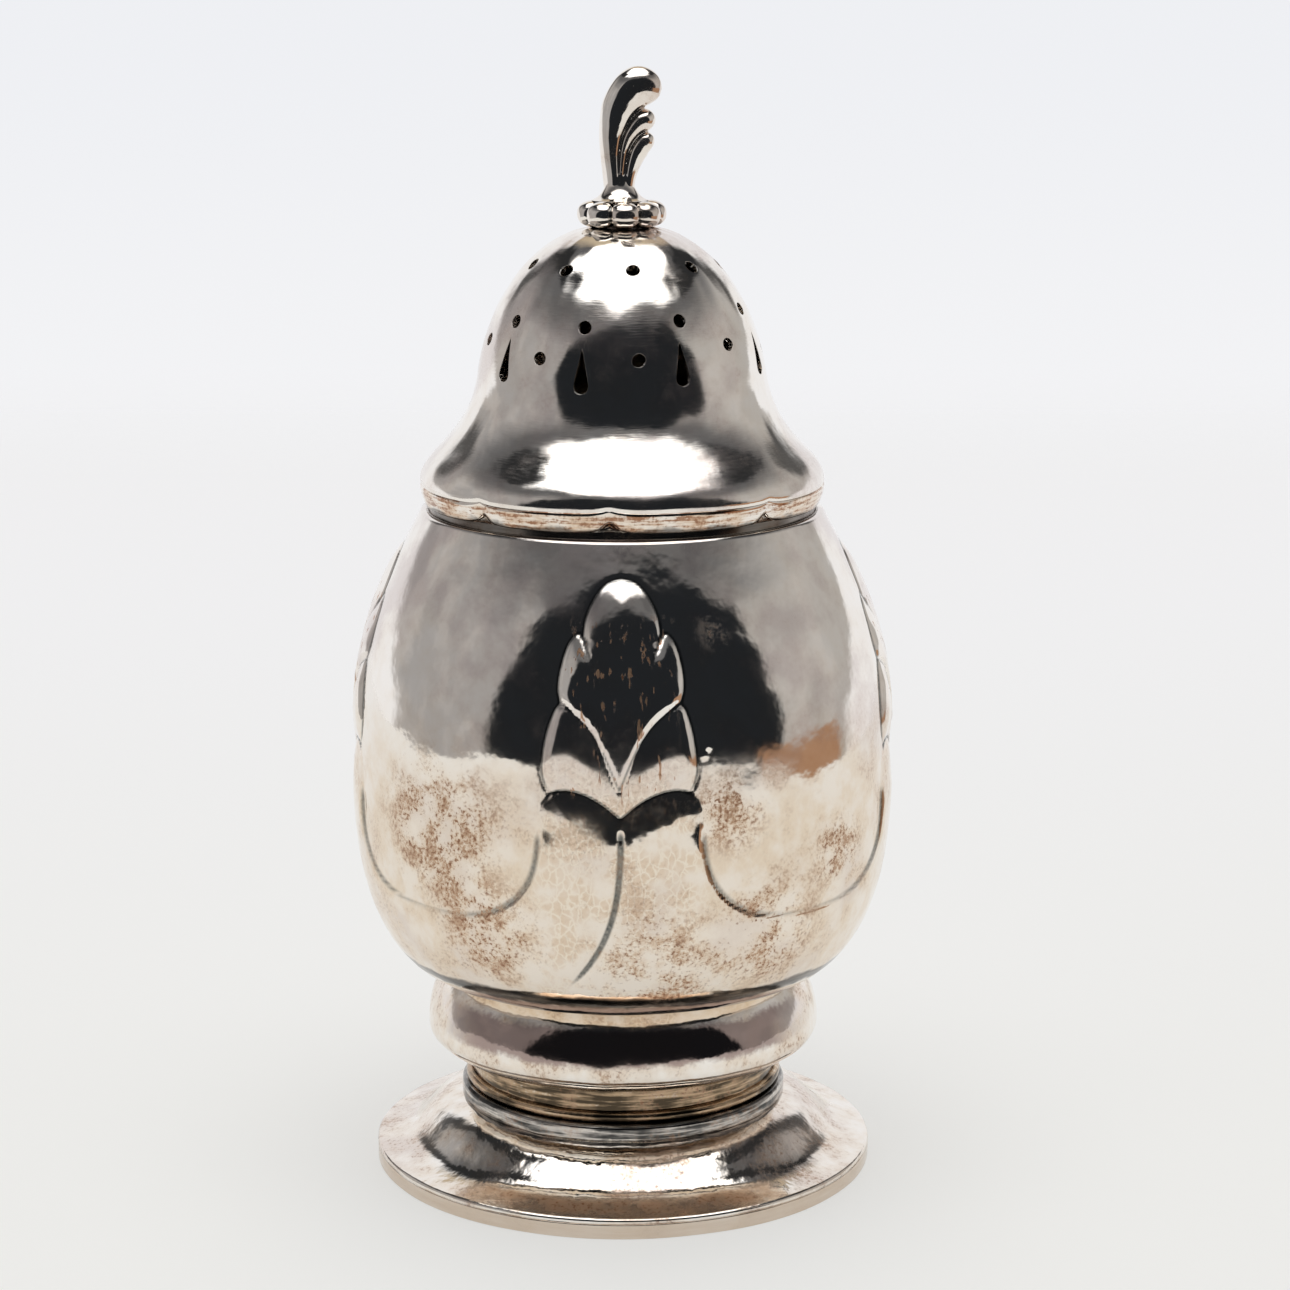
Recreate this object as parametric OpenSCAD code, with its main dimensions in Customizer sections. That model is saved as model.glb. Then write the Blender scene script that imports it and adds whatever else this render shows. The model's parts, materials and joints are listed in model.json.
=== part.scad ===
// Sugar caster: a hand-raised silver vessel with a pull-off pierced lid.
// Millimetres, +Z up, origin at the centre of the base band's underside.

/* [Sheet] */
// Wall of the raised body
body_wall = 0.9; // [0.6:0.05:1.4]
// Wall of the lid, the foot and the turned mouldings
sheet = 0.8; // [0.5:0.05:1.2]

/* [Foot] */
// Outer radius of the foot
foot_r = 39; // [34:0.5:46]
// Height of the base band under the foot
band_h = 2.3; // [1.6:0.1:4]
// Radial width of the base band
band_w = 1.8; // [1:0.1:3]
// Rise of the foot from its edge to the collar
foot_rise = 7.1; // [5:0.1:12]
// Width of the shallow brim round the foot
brim_w = 5.2; // [3:0.1:7]
// Rise of the foot over its brim
brim_rise = 1.4; // [0.8:0.1:2.2]
// Slope where the brim turns up, in degrees
brim_slope = 25; // [15:1:35]
// Width of the level turn under the collar
foot_top_w = 4.7; // [2:0.1:6]
// Fall of that turn
foot_top_fall = 1; // [0.4:0.1:2]

/* [Stem] */
// Outer radius of the stem tube
stem_r = 24; // [21:0.1:26]
// Length of bare stem between wire and knop
stem_h = 3.7; // [2:0.1:8]
// Height of the collar where foot and stem meet
collar_h = 2.6; // [1.5:0.1:5]
// How far the collar stands out from the stem
collar_step = 1.5; // [1:0.1:3]
// Height of the half-round wire on the collar
wire_h = 1.8; // [1:0.1:3]

/* [Knop] */
// Height of the knop
knop_h = 13.7; // [11:0.1:18]
// Largest radius of the knop
knop_r = 30.7; // [28.5:0.1:34]
// Height of the knop's rounded underside
knop_round_h = 4.1; // [3:0.1:6]
// Radius of the knop's top edge, under the body
knop_neck_r = 26.7; // [25:0.1:28]

/* [Body] */
// Height of the body
body_h = 72.2; // [64:0.2:84]
// Largest radius of the body between its leaves
belly_r = 41.2; // [38.5:0.1:46]
// Height of the largest radius above the body's underside
belly_h = 25.5; // [22:0.1:32]
// Radius of the flat underside
base_r = 28; // [27.5:0.1:31]
// Outer radius of the mouth
mouth_r = 30.5; // [29.5:0.1:33]
// Share of the height over the belly that stays upright before the shoulder turns in
shoulder_start = 0.15; // [0:0.01:0.4]
// Height of the thickened edge inside the mouth
mouth_land = 1.6; // [1:0.1:3]

/* [Leaves] */
// Number of chased leaves round the body
leaf_count = 4; // [2:1:4]
// Depth of a leaf's top lobe below the mouth
leaf_drop = 10.9; // [9:0.1:13]
// Pairs of side lobes on a leaf
lobe_pairs = 3; // [2:1:3]
// Height from one pair of lobes to the next
lobe_pitch = 9.5; // [8.5:0.1:10]
// Distance of a side lobe from the leaf's midline
lobe_side = 6.6; // [5.5:0.1:8]
// Half width of a side lobe
lobe_half_w = 4.9; // [4:0.1:5.5]
// Half width of the top lobe
top_lobe_half_w = 5.4; // [4.5:0.1:6.5]
// Height of the top lobe above the first pair
top_lobe_step = 7.8; // [6:0.1:9]
// How far the lobes stand out from the body
lobe_proud = 1; // [0.6:0.05:1.4]

/* [Mouth] */
// Height of the ring inside the mouth
neck_ring_h = 8; // [5:0.1:12]
// Wall of the ring inside the mouth
neck_ring_wall = 1; // [0.7:0.05:1.6]
// How far the ring stands above the mouth
neck_ring_rise = 1; // [0.8:0.05:2]

/* [Lid] */
// Wall of the sleeve that slides into the mouth
sleeve_wall = 0.8; // [0.5:0.05:1.2]
// Depth of the sleeve below its seat
sleeve_depth = 9; // [5:0.1:14]
// Radial clearance of the sleeve in the mouth ring
sleeve_fit = 0.08; // [0.04:0.01:0.1]
// How far the lobed rim stands out past the mouth
rim_over = 0.2; // [0:0.05:1]
// Height of the lobed rim
rim_h = 2.3; // [1.9:0.1:3.5]
// Radial clearance of the rim round the mouth ring
rim_fit = 0.15; // [0.1:0.05:0.3]
// Thickness of the rim's flange on the seat
flange_t = 1; // [0.6:0.05:1.2]
// How far the lobed rim hangs below the seat
rim_drop = 0.4; // [0.1:0.05:0.6]
// Number of lobes on the rim
rim_lobes = 8; // [4:1:12]
// Depth of the notch between two lobes
notch_depth = 0.5; // [0.2:0.05:0.7]
// Turn from the crown's holes to the nearest notch, in degrees
notch_turn = -10; // [-22:1:22]
// Turn of the lid on the body, in degrees
lid_turn = 7; // [-180:1:180]
// How far the lid's lip stands out past the rim
lip_over = 0.3; // [0.1:0.05:1]
// Height of the lip above the rim
lip_rise = 0.7; // [0.4:0.1:1.5]
// Height of the flare, from lip to waist
flare_h = 16.5; // [12:0.1:22]
// Radius of the lid's waist
waist_r = 22; // [19:0.1:25]
// Slope of the wall at the waist, in degrees from upright
waist_slope = 6.6; // [3:0.2:12]
// Height of the dome above the waist
dome_h = 22.2; // [17:0.1:28]
// Radius of the flat on the crown, under the rosette
crown_flat_r = 4.6; // [4.5:0.1:5.5]
// Fullness of the dome's shoulder, as a share of the waist's radius
dome_full = 0.62; // [0.55:0.01:0.7]
// How far the crown falls from its flat towards the shoulder
crown_fall = 1.2; // [0.6:0.1:1.6]

/* [Piercings] */
// Number of piercings in each row
pierce_count = 9; // [4:1:10]
// Radius of the round holes
hole_r = 0.95; // [0.5:0.05:1.2]
// Radius of a drop's round end
drop_r = 1.05; // [0.6:0.05:1.4]
// Length of a drop
drop_h = 6.8; // [4:0.1:8]
// Width of a drop's upper end
drop_tip_w = 0.25; // [0.1:0.05:0.5]
// Height of the drops' lower ends above the waist
drop_low = 0.1; // [-2:0.1:2]
// Height of the holes between the drops, above the waist
hole_mid = 4.5; // [2:0.1:7]
// Height of the holes over the drops, above the waist
hole_high = 9.6; // [8:0.1:12]
// Height of the crown's holes above the waist
hole_crown = 17; // [14:0.1:18.5]

/* [Finial] */
// Outer radius of the petalled rosette
rosette_r = 6.8; // [5.5:0.1:8]
// Height of the rosette above the crown
rosette_h = 4; // [3:0.1:5]
// Number of petals on the rosette
petal_count = 8; // [7:1:9]
// Turn of the rosette on the crown, in degrees
petal_turn = 6; // [-18:1:18]
// Radius of a petal
petal_r = 2.3; // [2.1:0.05:2.6]
// Height of the plume above the rosette
plume_h = 19.8; // [17:0.1:24]
// Radius of the plume's foot on the rosette
plume_foot_r = 3.7; // [3.2:0.1:4.2]
// Height of the plume's foot
plume_foot_h = 2.6; // [1.5:0.1:4]
// Radius of the main frond at its foot and its tip
frond_r = 2.4; // [2:0.05:3]
// How much the main frond swells in between
frond_swell = 1.4; // [0.5:0.05:2]
// How far the main frond's tip curls to one side
frond_curl = 3.9; // [2:0.1:6]
// How far the main frond leans the other way first
frond_lean = 1; // [0:0.1:2]
// Number of side fronds under the main frond's curl
side_fronds = 2; // [1:1:3]
// Height of the upper side frond's tip
side_frond_h = 12.4; // [11:0.1:14]
// Height from one side frond's tip down to the next
side_frond_step = 3; // [2:0.1:4]
// How far a side frond's tip reaches to the side
side_frond_reach = 3.3; // [2:0.1:5]
// Radius of a side frond's tip
side_frond_r = 1.5; // [1:0.05:2]
// Radius of the peg that holds the plume
peg_r = 1.5; // [1:0.05:2]
// Radial clearance round the peg
peg_fit = 0.05; // [0.02:0.01:0.1]
// Outer radius of the washer inside the crown
washer_r = 3.4; // [3:0.1:4]
// Thickness of the washer
washer_t = 0.8; // [0.5:0.05:1.2]
// Radius of the peg's riveted head
rivet_r = 2.4; // [2.2:0.1:2.9]
// Height of the peg's riveted head
rivet_h = 0.9; // [0.6:0.05:1.4]

/* [Hidden] */
$fn = 96;
steps = 24;
// Bearing of the side that faces the viewer
front = -90;

// Levels, from the table up
foot_edge_z = band_h + sheet;
collar_z = foot_edge_z + foot_rise;
wire_z = collar_z + collar_h;
stem_z = wire_z + wire_h;
knop_z = stem_z + stem_h;
bulge_z = knop_z + knop_round_h;
body_z = knop_z + knop_h;
belly_z = body_z + belly_h;
mouth_z = body_z + body_h;
seat_z = mouth_z + neck_ring_rise;
rim_z = seat_z - rim_drop;
rim_top_z = rim_z + rim_h;
lip_z = rim_top_z + lip_rise;
waist_z = lip_z + flare_h;
crown_z = waist_z + dome_h;
plume_z = crown_z + rosette_h;

// Radii that follow from the fits
collar_r = stem_r + collar_step;
stem_bore_r = stem_r - sheet;
neck_ring_r = mouth_r - body_wall;
neck_bore_r = neck_ring_r - neck_ring_wall;
sleeve_r = neck_bore_r - sleeve_fit;
rim_r = mouth_r + rim_over;
rim_bore_r = neck_ring_r + rim_fit;
lip_r = rim_r + lip_over;
peg_bore_r = peg_r + peg_fit;

silver = [0.80, 0.79, 0.76];
shade = [0.62, 0.60, 0.57];

// Points along a cubic curve
function curve(a, b, c, d) =
    [for (i = [0:steps]) let (t = i / steps, u = 1 - t)
        u*u*u*a + 3*u*u*t*b + 3*u*t*t*c + t*t*t*d];

// Unit normal on the left of a path at its point i
function left_of(path, i) =
    let (d = path[min(i + 1, len(path) - 1)] - path[max(i - 1, 0)])
    [-d[1], d[0]] / norm(d);

// A path moved to its left by t, with its two ends moved in given directions
function beside(path, t, first, last) =
    [for (i = [0:len(path) - 1])
        path[i] + t * (i == 0 ? first : i == len(path) - 1 ? last : left_of(path, i))];

function backwards(list) = [for (i = [len(list) - 1:-1:0]) list[i]];

// Joins two paths that share a point
function joined(a, b) = concat(a, [for (i = [1:len(b) - 1]) b[i]]);

// A path's radius at a height
function radius_at(path, z) = lookup(z, [for (p = path) [p[1], p[0]]]);

// A path's lean at a height, in degrees, positive where the wall faces up
function lean_at(path, z) =
    let (dz = 0.3) atan((radius_at(path, z - dz) - radius_at(path, z + dz)) / (2 * dz));

// Profiles of the outer surfaces, from the bottom up

brim_r = foot_r - brim_w;
brim_z = foot_edge_z + brim_rise;
brim_lean = tan(brim_slope);
brim_reach = 0.3;
foot_path = joined(
    curve([foot_r, foot_edge_z], [foot_r - brim_w * 0.4, foot_edge_z + brim_rise * 0.28],
          [brim_r + brim_w * brim_reach, brim_z - brim_w * brim_reach * brim_lean], [brim_r, brim_z]),
    curve([brim_r, brim_z],
          [brim_r - (brim_r - collar_r) * brim_reach, brim_z + (brim_r - collar_r) * brim_reach * brim_lean],
          [collar_r + foot_top_w, collar_z - foot_top_fall], [collar_r, collar_z]));

// The knop's upper side is an arc from the bulge to the neck
neck_rise = knop_h - knop_round_h;
neck_arc_r = (pow(neck_rise, 2) + pow(knop_r - knop_neck_r, 2)) / (2 * (knop_r - knop_neck_r));
knop_path = concat(
    [[stem_bore_r, knop_z]],
    [for (i = [0:steps]) let (a = 90 * i / steps)
        [stem_r + (knop_r - stem_r) * sin(a), bulge_z - knop_round_h * cos(a)]],
    [for (i = [1:steps]) let (a = asin(neck_rise / neck_arc_r) * i / steps)
        [knop_r - neck_arc_r * (1 - cos(a)), bulge_z + neck_arc_r * sin(a)]]);

body_path = concat(
    [for (i = [0:steps]) let (a = 90 * i / steps)
        [base_r + (belly_r - base_r) * sin(a), belly_z - belly_h * cos(a)]],
    [for (i = [1:steps]) let (t = i / steps, x = max(0, t - shoulder_start) / (1 - shoulder_start))
        [belly_r - (belly_r - mouth_r) * (2 * pow(x, 3) - pow(x, 4)), belly_z + (mouth_z - belly_z) * t]]);

waist_lean = tan(waist_slope);
lid_path = joined(
    joined(
        curve([rim_r, rim_top_z], [lip_r, rim_top_z + lip_rise / 2],
              [lip_r, lip_z - lip_rise / 3], [lip_r, lip_z]),
        curve([lip_r, lip_z], [lip_r, lip_z + flare_h / 3],
              [waist_r + waist_lean * flare_h / 2, waist_z - flare_h / 2], [waist_r, waist_z])),
    curve([waist_r, waist_z], [waist_r - waist_lean * dome_h / 2, waist_z + dome_h / 2],
          [waist_r * dome_full, crown_z - crown_fall], [crown_flat_r, crown_z]));
crown_path = concat(lid_path, [[0, crown_z]]);

// A hollow turning between an outer path and the path beside it
module turning(path, wall, first, last) {
    rotate_extrude() polygon(concat(path, backwards(beside(path, wall, first, last))));
}

// A plain ring of rectangular section
module ring(outer, inner, low, high) {
    rotate_extrude() translate([inner, low]) square([outer - inner, high - low]);
}

module foot_band() color(silver) ring(foot_r, foot_r - band_w, 0, band_h);

module foot_dome() color(silver) turning(foot_path, sheet, [0, -1], [-1, 0]);

module stem_collar() color(shade)
    rotate_extrude() polygon([
        [stem_bore_r, collar_z], [collar_r, collar_z], [collar_r, wire_z - collar_step / 3],
        [collar_r - collar_step / 3, wire_z], [stem_bore_r, wire_z]]);

// Half-round wire with its flat side on the stem
module stem_wire() color(shade)
    rotate_extrude() intersection() {
        translate([stem_r, wire_z + wire_h / 2]) circle(wire_h / 2);
        translate([stem_r, wire_z]) square([wire_h, wire_h]);
    }

module stem_tube() color(shade) ring(stem_r, stem_bore_r, wire_z, knop_z);

module knop() color(silver) turning(knop_path, sheet, [0, 1], [-1, 0]);

// The space inside the body, with an upright edge at the mouth for the ring
module body_cavity() {
    inner = beside(body_path, body_wall, [0, 1], [-1, 0]);
    land_z = mouth_z - mouth_land;
    above = mouth_z + body_wall;
    rotate_extrude() polygon(concat(
        [[0, body_z + body_wall]],
        [for (p = inner) if (p[1] < land_z - body_wall / 2) p],
        [[neck_ring_r, land_z], [neck_ring_r, above], [0, above]]));
}

// One domed lobe on the body at height z: the part of a ball that stands out of the wall.
// The ball's radius gives the wanted half width on a wall as round as the body.
module lobe(side, z, half_w) {
    r = radius_at(body_path, z);
    ball_r = 1 / (2 * lobe_proud / pow(half_w, 2) + 1 / r);
    rotate([0, 0, side / r * 180 / PI]) translate([r, 0, z]) rotate([0, -lean_at(body_path, z), 0])
        translate([lobe_proud - ball_r, 0, 0]) sphere(ball_r);
}

// A leaf of one top lobe over pairs of side lobes, on the +X side
module leaf() {
    top_z = mouth_z - leaf_drop;
    lobe(0, top_z, top_lobe_half_w);
    for (pair = [0:lobe_pairs - 1], hand = [-1, 1])
        lobe(hand * lobe_side, top_z - top_lobe_step - pair * lobe_pitch, lobe_half_w);
}

module body_shell() color(silver) difference() {
    union() {
        rotate_extrude() polygon(concat([[0, body_z]], body_path, [[0, mouth_z]]));
        for (i = [0:leaf_count - 1]) rotate([0, 0, front + 360 * i / leaf_count]) leaf();
    }
    body_cavity();
}

module mouth_ring() color(shade) ring(neck_ring_r, neck_bore_r, seat_z - neck_ring_h, seat_z);

module lid_sleeve() color(shade)
    ring(sleeve_r, sleeve_r - sleeve_wall, seat_z - sleeve_depth, seat_z + flange_t);

// The rim: an outer band with a notch between lobes, and a flange that sits on the mouth ring
module lid_rim() color(silver) difference() {
    rotate_extrude() polygon([
        [sleeve_r, seat_z], [rim_bore_r, seat_z], [rim_bore_r, rim_z],
        [rim_r - rim_drop, rim_z], [rim_r, rim_z + rim_drop], [rim_r, rim_top_z],
        [rim_bore_r, rim_top_z], [rim_bore_r, seat_z + flange_t], [sleeve_r, seat_z + flange_t]]);
    notch_side = notch_depth * sqrt(2);
    for (i = [0:rim_lobes - 1]) rotate([0, 0, front + lid_turn + notch_turn + 360 * i / rim_lobes])
        translate([rim_r, 0, rim_z + rim_h / 2])
            rotate([0, 0, 45]) cube([notch_side, notch_side, 2 * rim_h], center = true);
}

// Places children on the lid's wall at a height, pointing outwards
module on_lid(z, turn) {
    rotate([0, 0, turn]) translate([radius_at(lid_path, z), 0, z])
        rotate([0, 90 - lean_at(lid_path, z), 0]) children();
}

module round_hole(z, turn) on_lid(z, turn) cylinder(r = hole_r, h = 6 * sheet, center = true);

// A drop-shaped cut: a round end below, narrowing to a tip above
module drop_hole(turn) {
    shoulder = drop_r * 0.9;
    tip = drop_r - drop_h;
    on_lid(waist_z + drop_low + drop_r, turn) {
        cylinder(r = drop_r, h = 6 * sheet, center = true);
        linear_extrude(6 * sheet, center = true)
            polygon([[0, -shoulder], [0, shoulder], [tip, drop_tip_w / 2], [tip, -drop_tip_w / 2]]);
    }
}

module lid_dome() color(silver) difference() {
    turning(crown_path, sheet, [-1, 0], [0, -1]);
    translate([0, 0, crown_z]) cylinder(r = peg_bore_r, h = 6 * sheet, center = true);
    for (i = [0:pierce_count - 1]) {
        turn = front + lid_turn + 360 * i / pierce_count;
        between = turn + 180 / pierce_count;
        round_hole(waist_z + hole_crown, turn);
        round_hole(waist_z + hole_mid, turn);
        round_hole(waist_z + hole_high, between);
        drop_hole(between);
    }
}

// A ring of round petals round a boss, on the flat of the crown
module finial_rosette() color(shade) translate([0, 0, crown_z]) difference() {
    intersection() {
        union() {
            cylinder(r = rosette_r - petal_r, h = rosette_h);
            for (i = [0:petal_count - 1]) rotate([0, 0, front + petal_turn + 360 * i / petal_count])
                translate([rosette_r - petal_r, 0, rosette_h / 2]) sphere(petal_r);
        }
        cylinder(r = 2 * rosette_r, h = rosette_h);
    }
    cylinder(r = peg_bore_r, h = 3 * rosette_h, center = true);
}

// A frond as a chain of balls from [x, z] places and radii that follow t from 0 to 1
module chain(places, radii) {
    for (i = [1:len(places) - 1]) hull() for (k = [i - 1, i])
        translate([places[k][0], 0, places[k][1]]) sphere(radii[k], $fn = 24);
}

// The main frond leans one way, swells, and curls over to the other side at its tip
module main_frond() {
    links = [for (i = [0:8]) i / 8];
    tip_z = plume_h - frond_r;
    chain([for (t = links) [frond_curl * pow(t, 3) - frond_lean * sin(180 * t),
                            plume_foot_h + (tip_z - plume_foot_h) * pow(t, 0.9)]],
          [for (t = links) frond_r + frond_swell * sin(180 * pow(t, 1.5))]);
}

// A side frond leaves the main frond's foot and turns outwards at its tip
module side_frond(tip_z) {
    links = [for (i = [0:5]) i / 5];
    chain([for (t = links) [side_frond_reach * pow(t, 1.6), plume_foot_h + (tip_z - plume_foot_h) * t]],
          [for (t = links) side_frond_r]);
}

// Fronds on one spreading foot, cast in one piece
module finial_plume() color(silver) translate([0, 0, plume_z]) {
    main_frond();
    for (i = [0:side_fronds - 1]) side_frond(side_frond_h - i * side_frond_step);
    cylinder(r1 = plume_foot_r, r2 = frond_r, h = plume_foot_h, $fn = 32);
}

// Peg from the plume's foot, through rosette and crown, to a riveted head inside
module finial_peg() color(shade) {
    head_z = crown_z - sheet - washer_t;
    translate([0, 0, head_z]) cylinder(r = peg_r, h = plume_z - head_z);
    translate([0, 0, head_z - rivet_h]) cylinder(r1 = rivet_r * 0.7, r2 = rivet_r, h = rivet_h);
}

module finial_washer() color(shade)
    ring(washer_r, peg_bore_r, crown_z - sheet - washer_t, crown_z - sheet);

foot_band();
foot_dome();
stem_collar();
stem_wire();
stem_tube();
knop();
body_shell();
mouth_ring();
lid_sleeve();
lid_rim();
lid_dome();
finial_rosette();
finial_plume();
finial_peg();
finial_washer();
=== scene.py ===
# %% [markdown]
# # A hand-raised silver sugar caster
# The caster is raised from flat sheet with a hammer: a foot, a knop, an egg-shaped body with chased leaves,
# and a pierced lid with a cast plume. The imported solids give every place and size. This lesson gives each
# piece the surface that a silversmith leaves: hammer marks, chased lines, soft edges and a little tarnish.

# %% Load the frame
import json

import bpy
import numpy as np
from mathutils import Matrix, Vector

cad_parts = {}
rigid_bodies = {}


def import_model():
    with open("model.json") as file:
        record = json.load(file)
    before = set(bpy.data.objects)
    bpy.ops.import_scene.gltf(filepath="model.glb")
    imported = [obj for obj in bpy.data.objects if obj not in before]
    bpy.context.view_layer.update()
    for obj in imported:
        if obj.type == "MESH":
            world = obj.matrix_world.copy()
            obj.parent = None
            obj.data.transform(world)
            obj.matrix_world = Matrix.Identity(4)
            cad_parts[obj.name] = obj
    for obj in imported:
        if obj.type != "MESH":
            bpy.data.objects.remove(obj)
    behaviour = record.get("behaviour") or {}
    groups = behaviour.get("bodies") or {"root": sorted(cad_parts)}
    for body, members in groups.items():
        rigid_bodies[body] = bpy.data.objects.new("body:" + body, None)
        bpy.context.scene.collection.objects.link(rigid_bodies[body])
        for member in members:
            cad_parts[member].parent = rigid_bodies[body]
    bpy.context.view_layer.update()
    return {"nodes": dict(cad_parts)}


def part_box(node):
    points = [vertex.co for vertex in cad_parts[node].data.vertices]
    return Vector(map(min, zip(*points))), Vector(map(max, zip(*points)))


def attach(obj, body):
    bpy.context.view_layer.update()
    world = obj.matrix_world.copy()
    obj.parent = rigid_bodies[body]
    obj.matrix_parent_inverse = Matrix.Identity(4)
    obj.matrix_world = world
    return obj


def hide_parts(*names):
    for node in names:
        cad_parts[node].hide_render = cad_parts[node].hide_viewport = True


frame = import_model()
print("nodes:", sorted(frame["nodes"]))

# %% [markdown]
# ## Sizes
# Shapes are worked out in millimetres, as on a workshop drawing, and turned into metres when a mesh is
# made. A turned piece is known by its outer radius and its two heights, which come from the box of its
# solid. The few sizes that a box can't tell, such as where the belly is widest, are named where they are
# first needed.

# %% Sizes from the solids
METRE = 0.001
SHEET = 0.8


def turned_size(node):
    """Outer radius, lowest height and highest height of a solid that is turned about Z, in millimetres."""
    low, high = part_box(node)
    return (high.x - low.x) / 2 / METRE, low.z / METRE, high.z / METRE


foot_r, table_z, band_top = turned_size("foot_band")
_, _, collar_z = turned_size("foot_dome")
collar_r, _, wire_z = turned_size("stem_collar")
_, _, wire_top = turned_size("stem_wire")
stem_r, _, knop_z = turned_size("stem_tube")
knop_r, _, body_z = turned_size("knop")
_, _, mouth_z = turned_size("body_shell")
ring_r, ring_low, seat_z = turned_size("mouth_ring")
sleeve_r, sleeve_low, sleeve_top = turned_size("lid_sleeve")
rim_r, rim_z, rim_top = turned_size("lid_rim")
lip_r, _, crown_z = turned_size("lid_dome")
rosette_r, _, plume_z = turned_size("finial_rosette")
_, _, plume_top = turned_size("finial_plume")
print(f"foot {2 * foot_r:.1f} mm wide, body {body_z:.1f} to {mouth_z:.1f} mm, top at {plume_top:.1f} mm")

# %% [markdown]
# ## Curves and waves
# A profile is a list of radius and height pairs. Round stretches are cubic curves, and a curve through a
# few given points draws the chased outlines. No hammered sheet is perfectly round, so a
# sum of long waves, the same on every run, moves each surface by a few hundredths of a millimetre.

# %% Curve helpers
# the radius where waves are counted round a piece, and the spread of their lengths
WAVE_R, WAVE_SPREAD = 30.0, (0.7, 1.8)


def cubic(a, b, c, d, count=40):
    """Points of a cubic curve: the four control points weighted by the Bernstein polynomials of t."""
    t = np.linspace(0, 1, count)[:, None]
    weights = (1 - t) ** 3, 3 * t * (1 - t) ** 2, 3 * t**2 * (1 - t), t**3
    return sum(w * np.array(p, float) for w, p in zip(weights, (a, b, c, d)))


def through(points, count=10):
    """A smooth open curve through points: each span is a cubic that follows its neighbours' direction."""
    p = np.array(points, float)
    p = np.vstack([2 * p[0] - p[1], p, 2 * p[-1] - p[-2]])
    spans = [cubic(b, b + (c - a) / 6, c - (d - b) / 6, c, count)[:-1]
             for a, b, c, d in zip(p[:-3], p[1:-2], p[2:-1], p[3:])]
    return np.vstack(spans + [p[-2:-1]])


def ease(x, low, high):
    """0 below low, 1 above high, and a smooth step in between."""
    t = np.clip((x - low) / (high - low), 0, 1)
    return t * t * (3 - 2 * t)


def hand_waves(theta, along, length, height, seed, count=28):
    """Sum of cosine waves of about this length, in random directions, whole in number round the piece."""
    rng = np.random.default_rng(seed)
    turn = rng.uniform(0, np.pi, count)
    size = length * rng.uniform(*WAVE_SPREAD, count)
    round_count = np.rint(2 * np.pi * WAVE_R / size * np.cos(turn))
    rise = 2 * np.pi / size * np.sin(turn)
    phase = rng.uniform(0, 2 * np.pi, count)
    total = sum(np.cos(n * theta + k * along + p) for n, k, p in zip(round_count, rise, phase))
    return height * total / np.sqrt(count / 2)


def normals_of(profile):
    """Unit normals on the outer side of a profile that runs upwards."""
    step = np.gradient(profile, axis=0)
    side = np.stack([step[:, 1], -step[:, 0]], axis=1)
    return side / np.linalg.norm(side, axis=1)[:, None]


def lengths_along(path):
    """Length of a path up to each of its points: the running sum of its segments."""
    return np.concatenate([[0], np.cumsum(np.linalg.norm(np.diff(path, axis=0), axis=1))])


print("wave at the front:", round(float(hand_waves(0.0, 0.0, 8, 0.05, 1)), 4), "mm")

# %% [markdown]
# ## From grid to mesh
# Every surface below is a grid of points: rows along a profile, columns round the axis. Two neighbouring
# rows and columns make one four-sided face, and the last column joins the first. A grid that ends near the
# axis is closed by a fan of triangles to one point, so no hole is left at a pole.

# %% Mesh helpers
EDGE = 0.22


def make_mesh(name, points, faces):
    """A smooth-shaded mesh object from points in millimetres and a list of face arrays of any width."""
    mesh = bpy.data.meshes.new(name)
    corners = np.concatenate([f.ravel() for f in faces]).astype(np.int32)
    widths = np.concatenate([np.full(len(f), f.shape[1]) for f in faces])
    starts = np.concatenate([[0], np.cumsum(widths)[:-1]]).astype(np.int32)
    mesh.vertices.add(len(points))
    mesh.vertices.foreach_set("co", (np.asarray(points, float) * METRE).astype(np.float32).ravel())
    mesh.loops.add(len(corners))
    mesh.loops.foreach_set("vertex_index", corners)
    mesh.polygons.add(len(widths))
    mesh.polygons.foreach_set("loop_start", starts)
    mesh.polygons.foreach_set("use_smooth", np.ones(len(widths), bool))
    mesh.update(calc_edges=True)
    mesh.validate()
    piece = bpy.data.objects.new(name, mesh)
    bpy.context.scene.collection.objects.link(piece)
    return piece


def modify(piece, name, kind, **settings):
    """Adds a modifier to a piece and sets its settings."""
    made = piece.modifiers.new(name, kind)
    for setting, value in settings.items():
        setattr(made, setting, value)


def mark_lines(piece, values):
    """Keeps each point's share of chased line with the piece, for its finish."""
    line = piece.data.attributes.new("chased_line", "FLOAT", "POINT")
    line.data.foreach_set("value", values.astype(np.float32).ravel())


def grid_faces(rows, columns, closed_rows=False):
    """Quads between neighbouring rows and columns; the columns always close, the rows if asked."""
    i = np.arange(rows if closed_rows else rows - 1)[:, None]
    j = np.arange(columns)[None, :]
    below, above = i * columns, (i + 1) % rows * columns
    right = (j + 1) % columns
    return np.stack([below + j, below + right, above + right, above + j], axis=-1).reshape(-1, 4)


def capped_faces(rows, columns, flipped=False):
    """Quads of a grid, and a fan of triangles from each end row to a pole; the two poles follow the grid."""
    count = rows * columns
    a = np.arange(columns)
    b = (a + 1) % columns
    low = np.stack([b, a, np.full(columns, count)], axis=1)
    high = np.stack([a + count - columns, b + count - columns, np.full(columns, count + 1)], axis=1)
    quads, fans = grid_faces(rows, columns), np.vstack([low, high])
    return (quads[:, ::-1], fans[:, [1, 0, 2]]) if flipped else (quads, fans)


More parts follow.
